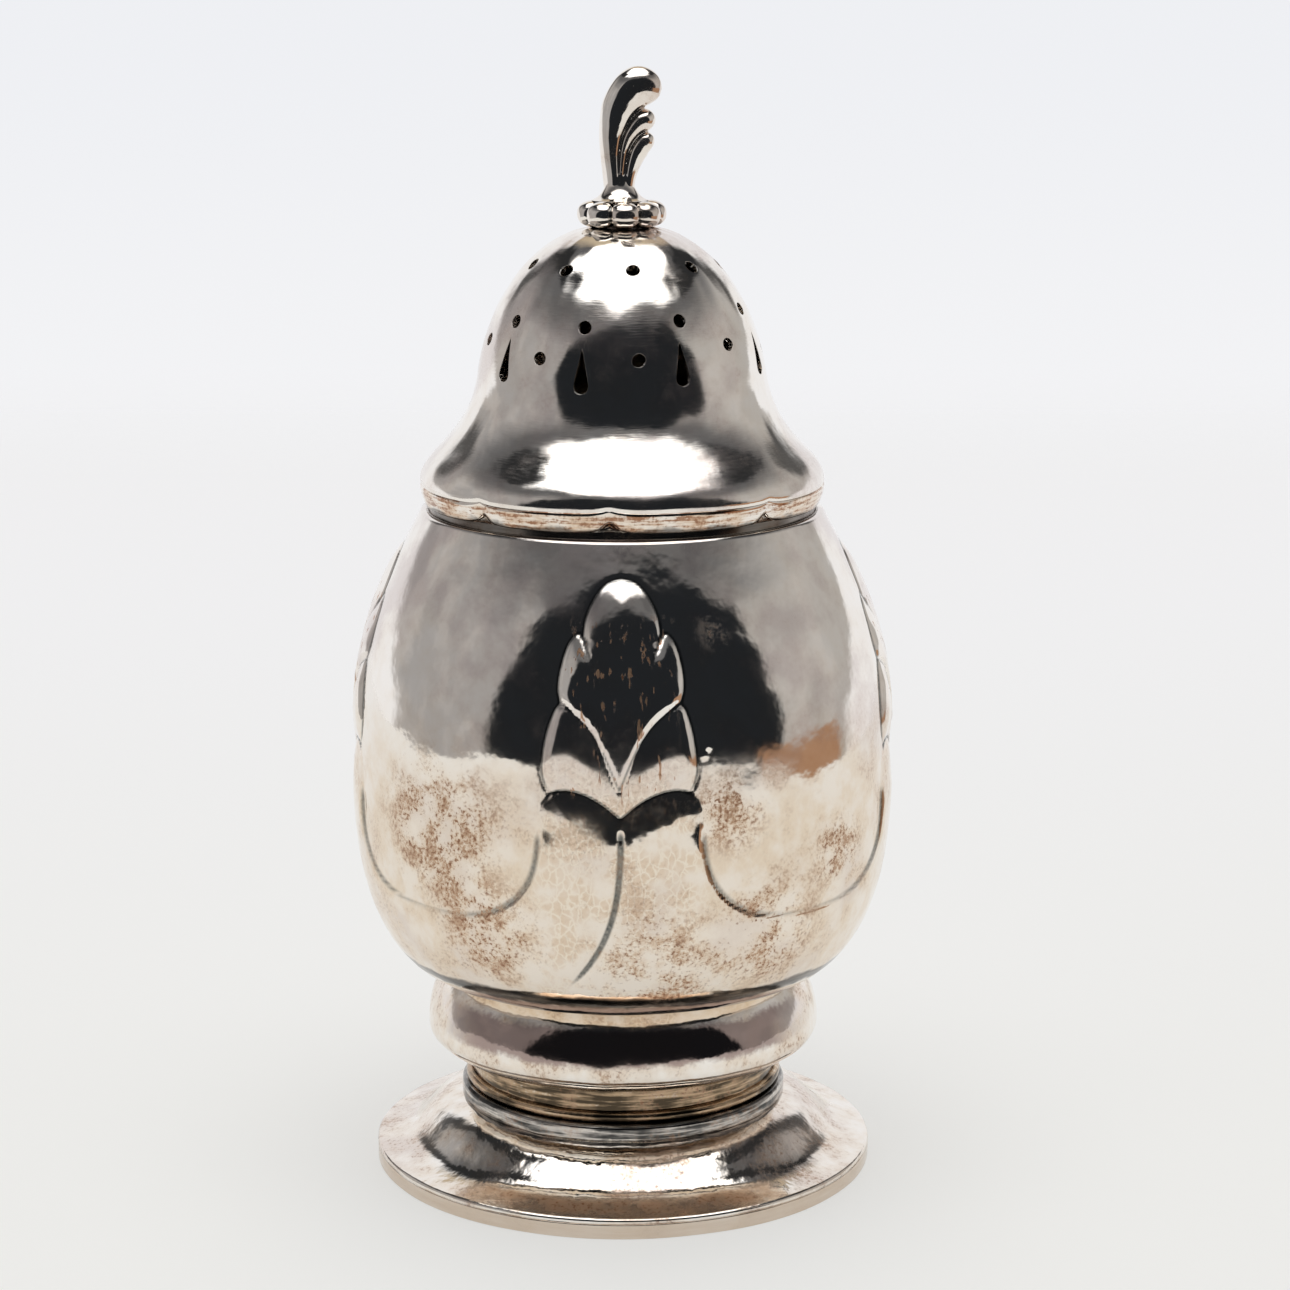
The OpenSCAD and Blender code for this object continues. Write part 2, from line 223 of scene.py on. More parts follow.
def angles(columns):
    return np.arange(columns) * 2 * np.pi / columns


def spin(radius, height, theta):
    """Points at radius and height, both rows by columns, turned by theta from the front to the right."""
    return np.stack([radius * np.sin(theta), -radius * np.cos(theta), height + 0 * theta], axis=-1)


def carried(profile, theta, push=0.0):
    """A profile carried round the axis to each theta, with every point moved along its normal by push."""
    side = normals_of(profile)
    return spin(profile[:, :1] + push * side[:, :1], profile[:, 1:] + push * side[:, 1:], theta[None, :])


def turned(name, profile, columns=192, wave=(9, 0.0, 1)):
    """A closed profile carried round the axis. Wave is the length, height and seed of its hand waves."""
    theta = angles(columns)
    push = hand_waves(theta[None, :], lengths_along(profile)[:, None], *wave)
    points = carried(profile, theta, push).reshape(-1, 3)
    return make_mesh(name, points, [grid_faces(len(profile), columns, True)])


def rounded(corners, radius=EDGE, share=0.45, steps=5):
    """A closed outline with a short curve for each corner, which takes a share of a leg at most."""
    p = np.array(corners, float)
    legs = [np.roll(p, way, axis=0) - p for way in (1, -1)]
    lengths = [np.linalg.norm(leg, axis=1)[:, None] for leg in legs]
    reach = np.minimum(radius, share * np.minimum(*lengths))
    start, end = (p + leg / length * reach for leg, length in zip(legs, lengths))
    t = np.linspace(0, 1, steps)[None, :, None]
    arcs = (1 - t) ** 2 * start[:, None] + 2 * t * (1 - t) * p[:, None] + t**2 * end[:, None]
    return arcs.reshape(-1, 2)


def hoop(inner, outer, low, high):
    """The rounded section of a plain ring."""
    return rounded([(inner, low), (outer, low), (outer, high), (inner, high)])


print("a ring of four corners becomes", len(hoop(1, 2, 0, 1)), "points")

# %% [markdown]
# ## Foot, stem and knop
# These are simple turned sheets and rings, so each is one closed profile carried round the axis. The
# hammer's waves are a few hundredths of a millimetre high. Every edge is a little rounded, because a dead
# sharp edge never catches the light.

# %% Foot and stem
BAND_W, FOOT_COLUMNS = 1.8, 256
BRIM_W, BRIM_RISE, BRIM_LEAN = 5.2, 1.4, 0.466
EDGE_RUN, EDGE_RISE, HANDLE = 0.4, 0.28, 0.3
COLLAR_RUN, COLLAR_DIP, COLLAR_BEVEL = 4.7, 1.0, 0.5
LIP_SWELL, LIP_ROUND, UNDER_IN, STEM_WAIST = 0.05, 0.3, 0.1, 0.15
foot_edge_z = band_top + SHEET
brim_r, brim_z = foot_r - BRIM_W, foot_edge_z + BRIM_RISE
rise_w = brim_r - collar_r
foot_top = np.vstack([
    cubic((foot_r, foot_edge_z), (foot_r - EDGE_RUN * BRIM_W, foot_edge_z + EDGE_RISE * BRIM_RISE),
          (brim_r + HANDLE * BRIM_W, brim_z - HANDLE * BRIM_W * BRIM_LEAN), (brim_r, brim_z), 30)[:-1],
    cubic((brim_r, brim_z), (brim_r - HANDLE * rise_w, brim_z + HANDLE * rise_w * BRIM_LEAN),
          (collar_r + COLLAR_RUN, collar_z - COLLAR_DIP), (collar_r, collar_z), 44)])
foot_under = foot_top - SHEET * normals_of(foot_top)
foot_under[0] = foot_r - UNDER_IN, band_top
foot_under[-1] = collar_r - SHEET, collar_z
foot_lip = np.array([(foot_r, band_top), (foot_r + LIP_SWELL, foot_edge_z - LIP_ROUND)])
foot_path = np.vstack([foot_lip, foot_top[1:], foot_under[::-1][:-1]])
band_path = hoop(foot_r - BAND_W, foot_r, table_z, band_top)
foot_band = turned("foot_band_hammered", band_path, FOOT_COLUMNS, (14, 0.03, 3))
foot_dome = turned("foot_dome_hammered", foot_path, FOOT_COLUMNS, (8, 0.03, 4))

stem_bore = stem_r - SHEET
stem_collar = turned("stem_collar_filed", rounded([
    (stem_bore, collar_z), (collar_r, collar_z), (collar_r, wire_z - COLLAR_BEVEL),
    (collar_r - COLLAR_BEVEL, wire_z), (stem_bore, wire_z)]), wave=(7, 0.02, 5))
half_round = np.linspace(-np.pi / 2, np.pi / 2, 15)[:, None]
wire_half = (wire_top - wire_z) / 2
wire_path = (stem_r, wire_z + wire_half) + wire_half * np.hstack([np.cos(half_round), np.sin(half_round)])
stem_wire = turned("stem_wire_drawn", wire_path, wave=(8, 0.015, 6))
stem_tube = turned("stem_tube_hammered", rounded([
    (stem_bore, wire_z), (stem_r, wire_z), (stem_r - STEM_WAIST, (wire_top + knop_z) / 2), (stem_r, knop_z),
    (stem_bore, knop_z)]), wave=(7, 0.03, 7))
print(f"stem: from {collar_z:.1f} to {knop_z:.1f} mm")

# %% Knop
KNOP_ROUND, KNOP_NECK_R = 4.1, 26.7
bulge_z = knop_z + KNOP_ROUND
quarter = np.linspace(0, np.pi / 2, 24)[:, None]
knop_low = np.hstack([stem_r + (knop_r - stem_r) * np.sin(quarter), bulge_z - KNOP_ROUND * np.cos(quarter)])
neck_rise, neck_in = body_z - bulge_z, knop_r - KNOP_NECK_R
arc_r = (neck_rise**2 + neck_in**2) / (2 * neck_in)
arc_turn = np.linspace(0, np.arcsin(neck_rise / arc_r), 28)[1:, None]
knop_high = np.hstack([knop_r - arc_r * (1 - np.cos(arc_turn)), bulge_z + arc_r * np.sin(arc_turn)])
knop_out = np.vstack([[(stem_bore, knop_z)], knop_low, knop_high])
knop_in = knop_out - SHEET * normals_of(knop_out)
knop_in[0] = stem_bore, knop_z + SHEET
knop_in[-1] = KNOP_NECK_R - SHEET, body_z
knop = turned("knop_hammered", np.vstack([knop_out, knop_in[::-1]]), FOOT_COLUMNS, (8, 0.03, 8))
print("knop:", len(knop.data.polygons), "faces")

# %% [markdown]
# ## The chased leaf
# A chaser pushes the sheet out from inside and sharpens it from outside: lobes stand up like pillows, and a
# blunt punch draws the line round each. The leaf is worked out flat, u across and v up from its foot, as a
# height at each point. Only its right half is drawn, because the left half is its mirror image.

# %% Leaf outlines
LEAF_Z = 63.5
TIP_EDGE = through([(0, 35.3), (2.2, 34.6), (4.0, 32.6), (5.3, 29.9), (5.7, 27.4)])
TIP_SIDE = through([(5.7, 27.4), (4.4, 24.4), (2.9, 19.0), (1.4, 12.0), (0.0, 7.0)])
UPPER_EDGE = through([(5.0, 26.6), (6.3, 27.9), (7.9, 26.2), (8.9, 23.0), (9.2, 20.4), (8.9, 18.4)])
UPPER_FOOT = through([(8.9, 18.4), (5.6, 15.9), (3.1, 12.9), (1.4, 9.3), (0.0, 5.8)])
LOWER_EDGE = through([(8.9, 18.0), (9.6, 17.1), (10.8, 13.4), (11.4, 9.0), (11.0, 6.6), (10.2, 5.2)])
LOWER_FOOT = through([(10.2, 5.2), (8.0, 5.7), (5.2, 5.1), (2.6, 3.7), (0.0, 1.6)])
MOON_EDGE = np.vstack([LOWER_FOOT[::-1], through([(10.6, 4.6), (11.7, 3.0), (12.2, 0.8)])])
# bumps that the punch has left beside the leaf and along one lobe's foot: u, v and radius
PUNCH_DOTS = ((12.1, 13.0, 0.6), (12.7, 11.9, 0.8), (12.2, 10.6, 0.6),
              (-6.2, 17.2, 0.9), (-5.2, 16.2, 0.6), (-4.2, 15.0, 0.5), (-2.9, 12.9, 0.5), (-2.4, 11.9, 0.5))


def distance_to(path, u, v):
    """Shortest distance from each point to a path of straight segments."""
    a, b = path[:-1], path[1:]
    d = b - a
    pu, pv = u[..., None] - a[:, 0], v[..., None] - a[:, 1]
    t = np.clip((pu * d[:, 0] + pv * d[:, 1]) / np.maximum((d**2).sum(axis=1), 1e-9), 0, 1)
    return np.sqrt(((pu - t * d[:, 0]) ** 2 + (pv - t * d[:, 1]) ** 2).min(axis=-1))


def inside(path, u, v):
    """True where a line to the right crosses the closed path an odd number of times."""
    a, b = path, np.roll(path, -1, axis=0)
    across = (a[:, 1] > v[..., None]) != (b[:, 1] > v[..., None])
    drop = np.where(b[:, 1] == a[:, 1], 1e-9, b[:, 1] - a[:, 1])
    where = a[:, 0] + (v[..., None] - a[:, 1]) * (b[:, 0] - a[:, 0]) / drop
    return (across & (u[..., None] < where)).sum(axis=-1) % 2 == 1


def pillow(x):
    """A parabola from 0 at x = 0 to a level top at x = 1."""
    return 1 - (1 - np.clip(x, 0, 1)) ** 2


def line_at(distance, width):
    """1 on a chased line, falling off to both sides as exp(-(distance / width) squared)."""
    return np.exp(-((distance / width) ** 2))


print(f"leaf: {2 * LOWER_EDGE[:, 0].max():.1f} mm wide, {TIP_EDGE[:, 1].max():.1f} mm tall")

# %% [markdown]
# The top lobe swells slowly from its tip. A side lobe swells from its outer edge and drops over its foot,
# which overlaps the lobe below like a roof tile: a short drop under the upper lobe, and a long soft one
# under the lower lobe. A chased line is a narrow groove, and its share at each point is kept for the
# finish.

# %% Leaf height
DOT_RISE, HAND_BEND, BEND_LENGTH = 0.14, 0.2, 6
TIP_RISE, TIP_SWELL = 0.85, 7
# a side lobe's height at its foot, the drop over the foot and how wide the drop and the outer swelling are
UPPER_LOW, UPPER_DROP, UPPER_DROP_W, UPPER_SWELL = 0.32, 0.56, 1.6, 3.0
LOWER_LOW, LOWER_DROP, LOWER_DROP_W, LOWER_SWELL = 0.12, 0.83, 6.8, 2.6
UPPER_TOP, UPPER_TOP_SWELL, VALLEY_W, VALLEY_SHARE = 28.4, 8.5, 3.0, 0.85
OUTER_LINE_W, SIDE_LINE_W, FOOT_LINE_W, LINE_DEPTH = 0.34, 0.3, 0.26, 0.17


def leaf_height(u, v):
    """Height of the leaf above the sheet, and how near each point is to a chased line, 0 to 1."""
    bumps = sum(DOT_RISE * pillow(1 - np.hypot(u - du, v - dv) / size) * size for du, dv, size in PUNCH_DOTS)
    u = np.abs(u + HAND_BEND * np.sin(v / BEND_LENGTH))
    tip_half = np.vstack([TIP_EDGE, TIP_SIDE])
    in_tip = inside(np.vstack([tip_half, (tip_half * (-1, 1))[::-1]]), u, v)
    in_upper = inside(np.vstack([TIP_SIDE[::-1], UPPER_EDGE, UPPER_FOOT]), u, v) & ~in_tip
    in_lower = inside(np.vstack([UPPER_FOOT[::-1], LOWER_EDGE, LOWER_FOOT]), u, v) & ~in_tip & ~in_upper
    tip_edge, tip_side, upper_edge, upper_foot, lower_edge, lower_foot = (
        distance_to(path, u, v)
        for path in (TIP_EDGE, TIP_SIDE, UPPER_EDGE, UPPER_FOOT, LOWER_EDGE, LOWER_FOOT))

    tip = TIP_RISE * pillow(tip_edge / TIP_SWELL)
    soft_top = UPPER_SWELL * (1 + ease(v, 19, 27))
    upper = pillow(upper_edge / soft_top) * (UPPER_LOW + UPPER_DROP * pillow(upper_foot / UPPER_DROP_W))
    upper = upper * pillow((UPPER_TOP - v) / UPPER_TOP_SWELL)
    valley = (1 - ease(tip_side, 0, VALLEY_W)) * (1 - 0.5 * ease(v, 22, 27))
    upper = upper + VALLEY_SHARE * (tip - upper) * valley
    lower = pillow(lower_edge / LOWER_SWELL) * (LOWER_LOW + LOWER_DROP * pillow(lower_foot / LOWER_DROP_W))
    lower = lower * (0.55 + 0.45 * ease(upper_foot, 0, 4))
    height = np.where(in_tip, tip, np.where(in_upper, upper, np.where(in_lower, lower, 0)))

    outer_line = line_at(np.minimum.reduce([tip_edge, upper_edge, lower_edge]), OUTER_LINE_W) * ease(v, 4, 7)
    side_line = line_at(tip_side, SIDE_LINE_W) * ease(v, 20, 28)
    foot_line = line_at(np.minimum(upper_foot, lower_foot), FOOT_LINE_W)
    lines = np.maximum.reduce([0.8 * outer_line, 0.8 * side_line, 0.7 * foot_line])
    return height - LINE_DEPTH * lines + bumps, lines * (1 - ease(bumps, 0.0, 0.06))


probe_u, probe_v = np.meshgrid(np.linspace(-14, 14, 57), np.linspace(-6, 38, 89))
print("leaf stands", round(float(leaf_height(probe_u, probe_v)[0].max()), 2), "mm proud")

# %% [markdown]
# ## Trunks and panels
# Below each leaf a broad trunk spreads down the body, and the bowl between two trunks is a smooth panel
# with a round-bottomed outline. A panel lies a little lower than the trunks, with a chased line along its
# edge. The trunk rises slowly from under the leaf's foot, as two half moons, and one more line runs down
# its middle and bends aside at the bottom.

# %% Body relief
BELLY_R, BELLY_RISE, BASE_R = 41.2, 25.5, 28.0
LEAVES = 4
QUARTER_W = 2 * np.pi * BELLY_R / LEAVES
PANEL_HALF_W, PANEL_BOTTOM, PANEL_TURN, PANEL_POWER, PANEL_REACH = 20.3, 48.0, 64.0, 2.8, 17.0
PANEL_LINE_W, PANEL_LINE_DEPTH, PANEL_LINE_IN = 0.62, 0.16, 0.1
TRUNK_BEND, TRUNK_LENGTH, TRUNK_LINE_W, TRUNK_LINE_DEPTH = 7.0, 24.7, 0.56, 0.26
TRUNK_RISE, TRUNK_SWELL, MOON_LOW, MOON_SWELL = 0.45, 0.27, 0.12, 6.2
MOON_LINE_W, MOON_LINE_DEPTH = 0.3, 0.1
# closes the half moons' outline far below the leaf
UNDER_MOON = [(12.2, -40), (60, -40), (60, -60), (0, -60)]


def panel_depth(u, z):
    """Millimetres into the panel: one minus a superellipse below the turn, and upright above it."""
    side = np.clip((QUARTER_W / 2 - np.abs(u)) / PANEL_HALF_W, 0, None)
    below = np.clip((PANEL_TURN - z) / (PANEL_TURN - PANEL_BOTTOM), 0, None)
    return PANEL_REACH * (1 - (side**PANEL_POWER + below**PANEL_POWER) ** (1 / PANEL_POWER))


def body_relief(u, z):
    """Height of trunk, panel and leaf over the plain egg, with the share of chased line at each point."""
    v, across = z - LEAF_Z, np.abs(u)
    depth = panel_depth(u, z)
    below_leaf = inside(np.vstack([MOON_EDGE, UNDER_MOON]), across, v)
    moon_side = distance_to(MOON_EDGE, across, v)
    rim = ease(-v, -0.5, 2.5)
    trunk = (TRUNK_RISE + TRUNK_SWELL * ease(v, -12, -2)) * ease(-depth, -1.0, 0.9)
    trunk = trunk * np.where(below_leaf, MOON_LOW + (1 - MOON_LOW) * pillow(moon_side / MOON_SWELL), rim)
    leaf, leaf_line = leaf_height(u, v)
    on_leaf = ~below_leaf * ease(v, 0.0, 1.0)
    panel_line = line_at(depth - PANEL_LINE_IN, PANEL_LINE_W) * rim * ease(z, 45, 50)
    middle = u + TRUNK_BEND * np.clip((PANEL_TURN - z) / TRUNK_LENGTH, 0, None) ** 3
    trunk_line = line_at(middle, TRUNK_LINE_W) * ease(-v, -0.6, 1.5) * ease(z, 37, 42)
    moon_line = line_at(moon_side, MOON_LINE_W) * ease(v, 0.0, 1.5) * (1 - ease(across, 10.0, 11.4))
    height = np.where(below_leaf, trunk, np.maximum(trunk, leaf * on_leaf))
    height = np.where((leaf < 0) & ~below_leaf, trunk + leaf * on_leaf, height)
    cut = np.maximum.reduce(
        [PANEL_LINE_DEPTH * panel_line, TRUNK_LINE_DEPTH * trunk_line, MOON_LINE_DEPTH * moon_line])
    lines = np.maximum.reduce([leaf_line * on_leaf, 0.68 * panel_line, trunk_line, moon_line])
    return height - cut, np.clip(lines, 0, 1)


print(f"{LEAVES} leaves, {QUARTER_W:.1f} mm apart round the belly")

# %% [markdown]
# ## The body
# The body is one grid from the bottom's middle up the outside, over the mouth and down the inside. Columns
# crowd round each leaf and rows crowd from the panels' foot to the leaf's tip, so that the chasing has
# points to stand on while the plain parts stay light. How near a point is to a chased line is kept as an
# attribute.

# %% Raise the body
BODY_WALL, SHOULDER_START = 0.9, 0.15
PANEL_LOW, LEAF_LOW, LEAF_HIGH = 46.0, 62.5, 99.6
BOWL_START, BOWL_STEP = 0.05, 0.58
# where each stretch of columns starts, in degrees from the leaf's middle, and how many columns it has
COLUMN_ZONES = ((-18.5, 88), (18.5, 22), (32.0, 9), (58.0, 22), (71.5, 0))
LAND, MOUTH_FILED, FLOOR_BEND = 1.6, 0.35, 1.5
mouth_r = ring_r + BODY_WALL
belly_z = body_z + BELLY_RISE


def body_radius(z):
    """Quarter ellipse below the belly. Above it the slope is a smooth step, which sums to 2x^3 - x^4."""
    low = BASE_R + (BELLY_R - BASE_R) * np.sqrt(np.clip(1 - ((belly_z - z) / BELLY_RISE) ** 2, 0, 1))
    t = np.clip((z - belly_z) / (mouth_z - belly_z), 0, 1)
    x = np.clip(t - SHOULDER_START, 0, None) / (1 - SHOULDER_START)
    return np.where(z < belly_z, low, BELLY_R - (BELLY_R - mouth_r) * (2 * x**3 - x**4))


leaf_turn = np.radians(np.concatenate([
    np.linspace(start, stop, cells, endpoint=False)
    for (start, cells), (stop, _) in zip(COLUMN_ZONES[:-1], COLUMN_ZONES[1:])]))
leaf_apart = 2 * np.pi / LEAVES
body_theta = np.concatenate([leaf_turn + k * 2 * np.pi / LEAVES for k in range(LEAVES)])
columns = len(body_theta)

bowl_end = np.arccos((belly_z - PANEL_LOW) / BELLY_RISE)
bowl_turn = np.concatenate(
    [np.linspace(BOWL_START, BOWL_STEP, 6)[:-1], np.linspace(BOWL_STEP, bowl_end, 17)])
out_z = np.concatenate([
    belly_z - BELLY_RISE * np.cos(bowl_turn), np.linspace(PANEL_LOW, LEAF_LOW, 29)[1:],
    np.linspace(LEAF_LOW, LEAF_HIGH, 97)[1:], np.linspace(LEAF_HIGH, mouth_z - 0.9, 6)[1:], [mouth_z - 0.6]])
out_path = np.stack([body_radius(out_z), out_z], axis=1)
turn_grid = np.tile(leaf_turn - np.where(leaf_turn > leaf_apart / 2, leaf_apart, 0), (len(out_z), 1))
z_grid = np.repeat(out_z[:, None], len(leaf_turn), axis=1)
relief, chased = (np.tile(part, (1, LEAVES)) for part in body_relief(turn_grid * out_path[:, :1], z_grid))
waves = hand_waves(body_theta[None, :], out_z[:, None], 9, 0.02, 11)
relief = relief + waves * ease(mouth_z - out_z, 0, 6)[:, None]

mouth_top, floor_z = mouth_z - MOUTH_FILED, body_z + BODY_WALL
in_z = np.linspace(mouth_z - LAND - 0.8, body_z + 3.2, 11)
# from the filed mouth down the inside to the middle of the floor
in_path = np.vstack([
    [(mouth_r - 0.06, mouth_top - 0.06), (mouth_r - 0.3, mouth_top), (ring_r + 0.2, mouth_top - 0.05),
     (ring_r + 0.02, mouth_top - 0.2), (ring_r, mouth_z - LAND)],
    np.stack([body_radius(in_z) - BODY_WALL, in_z], axis=1),
    [(BASE_R - FLOOR_BEND, floor_z), (0.5 * BASE_R, floor_z), (0.1 * BASE_R, floor_z)]])
bottom_path = np.array([(0.1 * BASE_R, body_z), (0.6 * BASE_R, body_z), (0.95 * BASE_R, body_z)])
bottom, outside, inner = (carried(path, body_theta, push) for path, push in (
    (bottom_path, 0.0), (out_path, relief), (in_path, 0.0)))
rows = np.concatenate([bottom, outside, inner])
poles = [(0, 0, body_z), (0, 0, floor_z)]
body = make_mesh("body_chased", np.vstack([rows.reshape(-1, 3), poles]), capped_faces(len(rows), columns))
line_rows = np.concatenate([0 * bottom[..., 0], chased, 0 * inner[..., 0]])
mark_lines(body, np.append(line_rows, [0, 0]))
print("body:", len(body.data.polygons), "faces,", columns, "columns")

# %% [markdown]
# ## The pierced lid
# The lid is a thin bell with rows of round holes and drops sawn through it. A hole cut into a finished mesh
# leaves ragged shading, so the holes are planned in the grid instead: a small window of cells is left out,
# and a few rings of faces lead from the window's edge to the hole's own outline. All points still lie on
# the bell.

# %% Lid profile and windows
LID_TURN = np.radians(7)
LID_COLUMNS = 288
LIP_RISE, FLARE_LOW, FLARE_HIGH = 0.7, 0.3, 0.6
WAIST_R, WAIST_RISE, WAIST_SLOPE = 22.0, 16.5, 0.14
PEG_R, CROWN_FLAT_R, CROWN_FALL, DOME_FULL = 1.55, 4.6, 1.2, 0.62
NOTCHES = np.radians((-42.5, -3.2, 45, 90.5, 136, 181.5, 227, 272.5))
NOTCH_SOFT = np.radians(3.0)
# how far the sheet is drawn in at the lip, and how much more at a notch
LIP_IN, NOTCH_IN = 0.25, 0.4
lip_z = rim_top + LIP_RISE
waist_z = lip_z + WAIST_RISE
dome_rise = crown_z - waist_z
lip, waist, crown_edge = (lip_r, lip_z), (WAIST_R, waist_z), (CROWN_FLAT_R, crown_z)
flare_handle = WAIST_R + WAIST_SLOPE * FLARE_HIGH * WAIST_RISE, waist_z - FLARE_HIGH * WAIST_RISE
lid_path = np.vstack([
    cubic((rim_r, rim_top), (lip_r, rim_top + LIP_RISE / 2), (lip_r, lip_z - LIP_RISE / 3), lip, 60)[:-1],
    cubic(lip, (lip_r, lip_z + FLARE_LOW * WAIST_RISE), flare_handle, waist, 400)[:-1],
    cubic(waist, (WAIST_R - WAIST_SLOPE * dome_rise / 2, waist_z + dome_rise / 2),
          (DOME_FULL * WAIST_R, crown_z - CROWN_FALL), crown_edge, 600)[:-1],
    cubic(crown_edge, (3.6, crown_z), (2.6, crown_z), (PEG_R, crown_z), 60)])
lid_length = lengths_along(lid_path)
lid_side = normals_of(lid_path)


def pinch(theta):
    """1 at each of the rim's notches, falling off to both sides as exp(-angle / NOTCH_SOFT)."""
    apart = np.abs((theta[..., None] - NOTCHES + np.pi) % (2 * np.pi) - np.pi).min(axis=-1)
    return np.exp(-apart / NOTCH_SOFT)


def on_lid(theta, along):
    """The bell's surface: the profile at a length along it, turned by theta and moved by hand waves."""
    r, z, nr, nz = (np.interp(along, lid_length, part) for part in (*lid_path.T, *lid_side.T))
    tuck = pinch(theta)
    at_lip = 1 - ease(along, 0.2, 1.6 + 0.8 * tuck)
    push = hand_waves(theta, along, 8, 0.026, 21) * (1 - at_lip) - (LIP_IN + NOTCH_IN * tuck) * at_lip
    return spin(r + push * nr, z + push * nz, theta)


def length_at(z):
    """Length along the profile where the dome or flare passes a height."""
    return float(np.interp(z, lid_path[:, 1], lid_length))


print(f"lid: {lid_length[-1]:.1f} mm along its profile")

# %% Holes in the lid
PIERCED = 9
HOLE_R, HOLE_UNEVEN, DROP_R, DROP_H, DROP_TIP = 1.02, 0.05, 1.13, 7.0, 0.17
# heights over the waist of the crown hole, middle hole, high hole and drop
HOLE_RISES = (17.0, 4.5, 9.6, 1.2)
# how far the hand strayed at the front, as turn in degrees and rise, for the same four
STRAYED = {0: ((0.0, 0.0), (0.1, 0.0), (-0.3, 0.3), (-2.2, 0.5)),
           1: ((0.1, 0.1), (3.2, 1.5), (4.5, 0.9), (6.0, 0.6)),
           7: ((3.5, 0.1), (-1.0, 1.4), (-0.5, -0.4), (-0.4, 0.3)),
           8: ((-0.9, -0.25), (-1.6, -0.1), (-2.8, -0.5), (-2.6, -0.5))}
ROW_MARGIN = 3
flare_end, dome_end = length_at(waist_z - ROW_MARGIN), length_at(crown_z - ROW_MARGIN)
row_lengths = np.concatenate([np.linspace(0, flare_end, 56)[:-1], np.linspace(flare_end, dome_end, 54)[:-1],
                              np.linspace(dome_end, lid_length[-1], 20)])
hole_rng = np.random.default_rng(5)


def circle(a):
    return np.stack([np.cos(a), np.sin(a)], axis=1)


def round_outline(count=48):
    """A circle that the saw has left a little uneven."""
    a = np.linspace(0, 2 * np.pi, count, endpoint=False)
    return HOLE_R * (1 + HOLE_UNEVEN * np.cos(2 * a + hole_rng.uniform(0, 6)))[:, None] * circle(a)


def drop_outline():
    """A round end below and two straight flanks that meet in a narrow blunt tip above."""
    end = DROP_R * circle(np.linspace(np.radians(170), np.radians(370), 40))
    left, right = end[0], end[-1]
    tip = (hole_rng.uniform(-0.12, 0.12), DROP_H - DROP_R)
    up = cubic(right, right * (0.92, 0) + (0, 1.0), (tip[0] + DROP_TIP, tip[1] - 1.2), tip, 20)[1:]
    down = cubic(tip, (tip[0] - DROP_TIP, tip[1] - 1.2), left * (0.92, 0) + (0, 1.0), left, 20)[1:-1]
    return np.vstack([end, up, down])


holes = []
for k in range(PIERCED):
    straight = LID_TURN + k * 2 * np.pi / PIERCED
    between = straight + np.pi / PIERCED
    outlines = (round_outline(), round_outline(), round_outline(), drop_outline())
    strayed = STRAYED.get(k, hole_rng.uniform(-1, 1, (4, 2)) * (1.2, 0.3))
    turns = (straight, straight, between, between)
    for turn, rise, outline, (more_turn, more_rise) in zip(turns, HOLE_RISES, outlines, strayed):
        holes.append((turn + np.radians(more_turn), waist_z + rise + more_rise, outline))
print(len(holes), "holes planned")

# %% [markdown]
# Each window's rim is a closed loop of grid points. For every point of that loop, the hole's outline is
# looked up in the same direction from the hole's middle, and rings of faces are laid between the two. The
# sheet then gets its thickness, and a narrow bevel along the sawn edge gives the thin bright line round
# each hole.

# %% Weave the lid
MARGIN, SAWN_EDGE = 0.75, 0.05
RING_STEPS = (0.35, 0.65, 0.86, 1.0)


def window_loop(low, high, left, right):
    """Row and column of each grid point round a window, from its lower left corner to the right and up."""
    up, across = np.arange(low, high), np.arange(left, right)
    sides = ((low + 0 * across, across), (up, right + 0 * up),
             (high + 0 * across, across[::-1] + 1), (up[::-1] + 1, left + 0 * up))
    return np.concatenate([np.stack(side, axis=1) for side in sides])


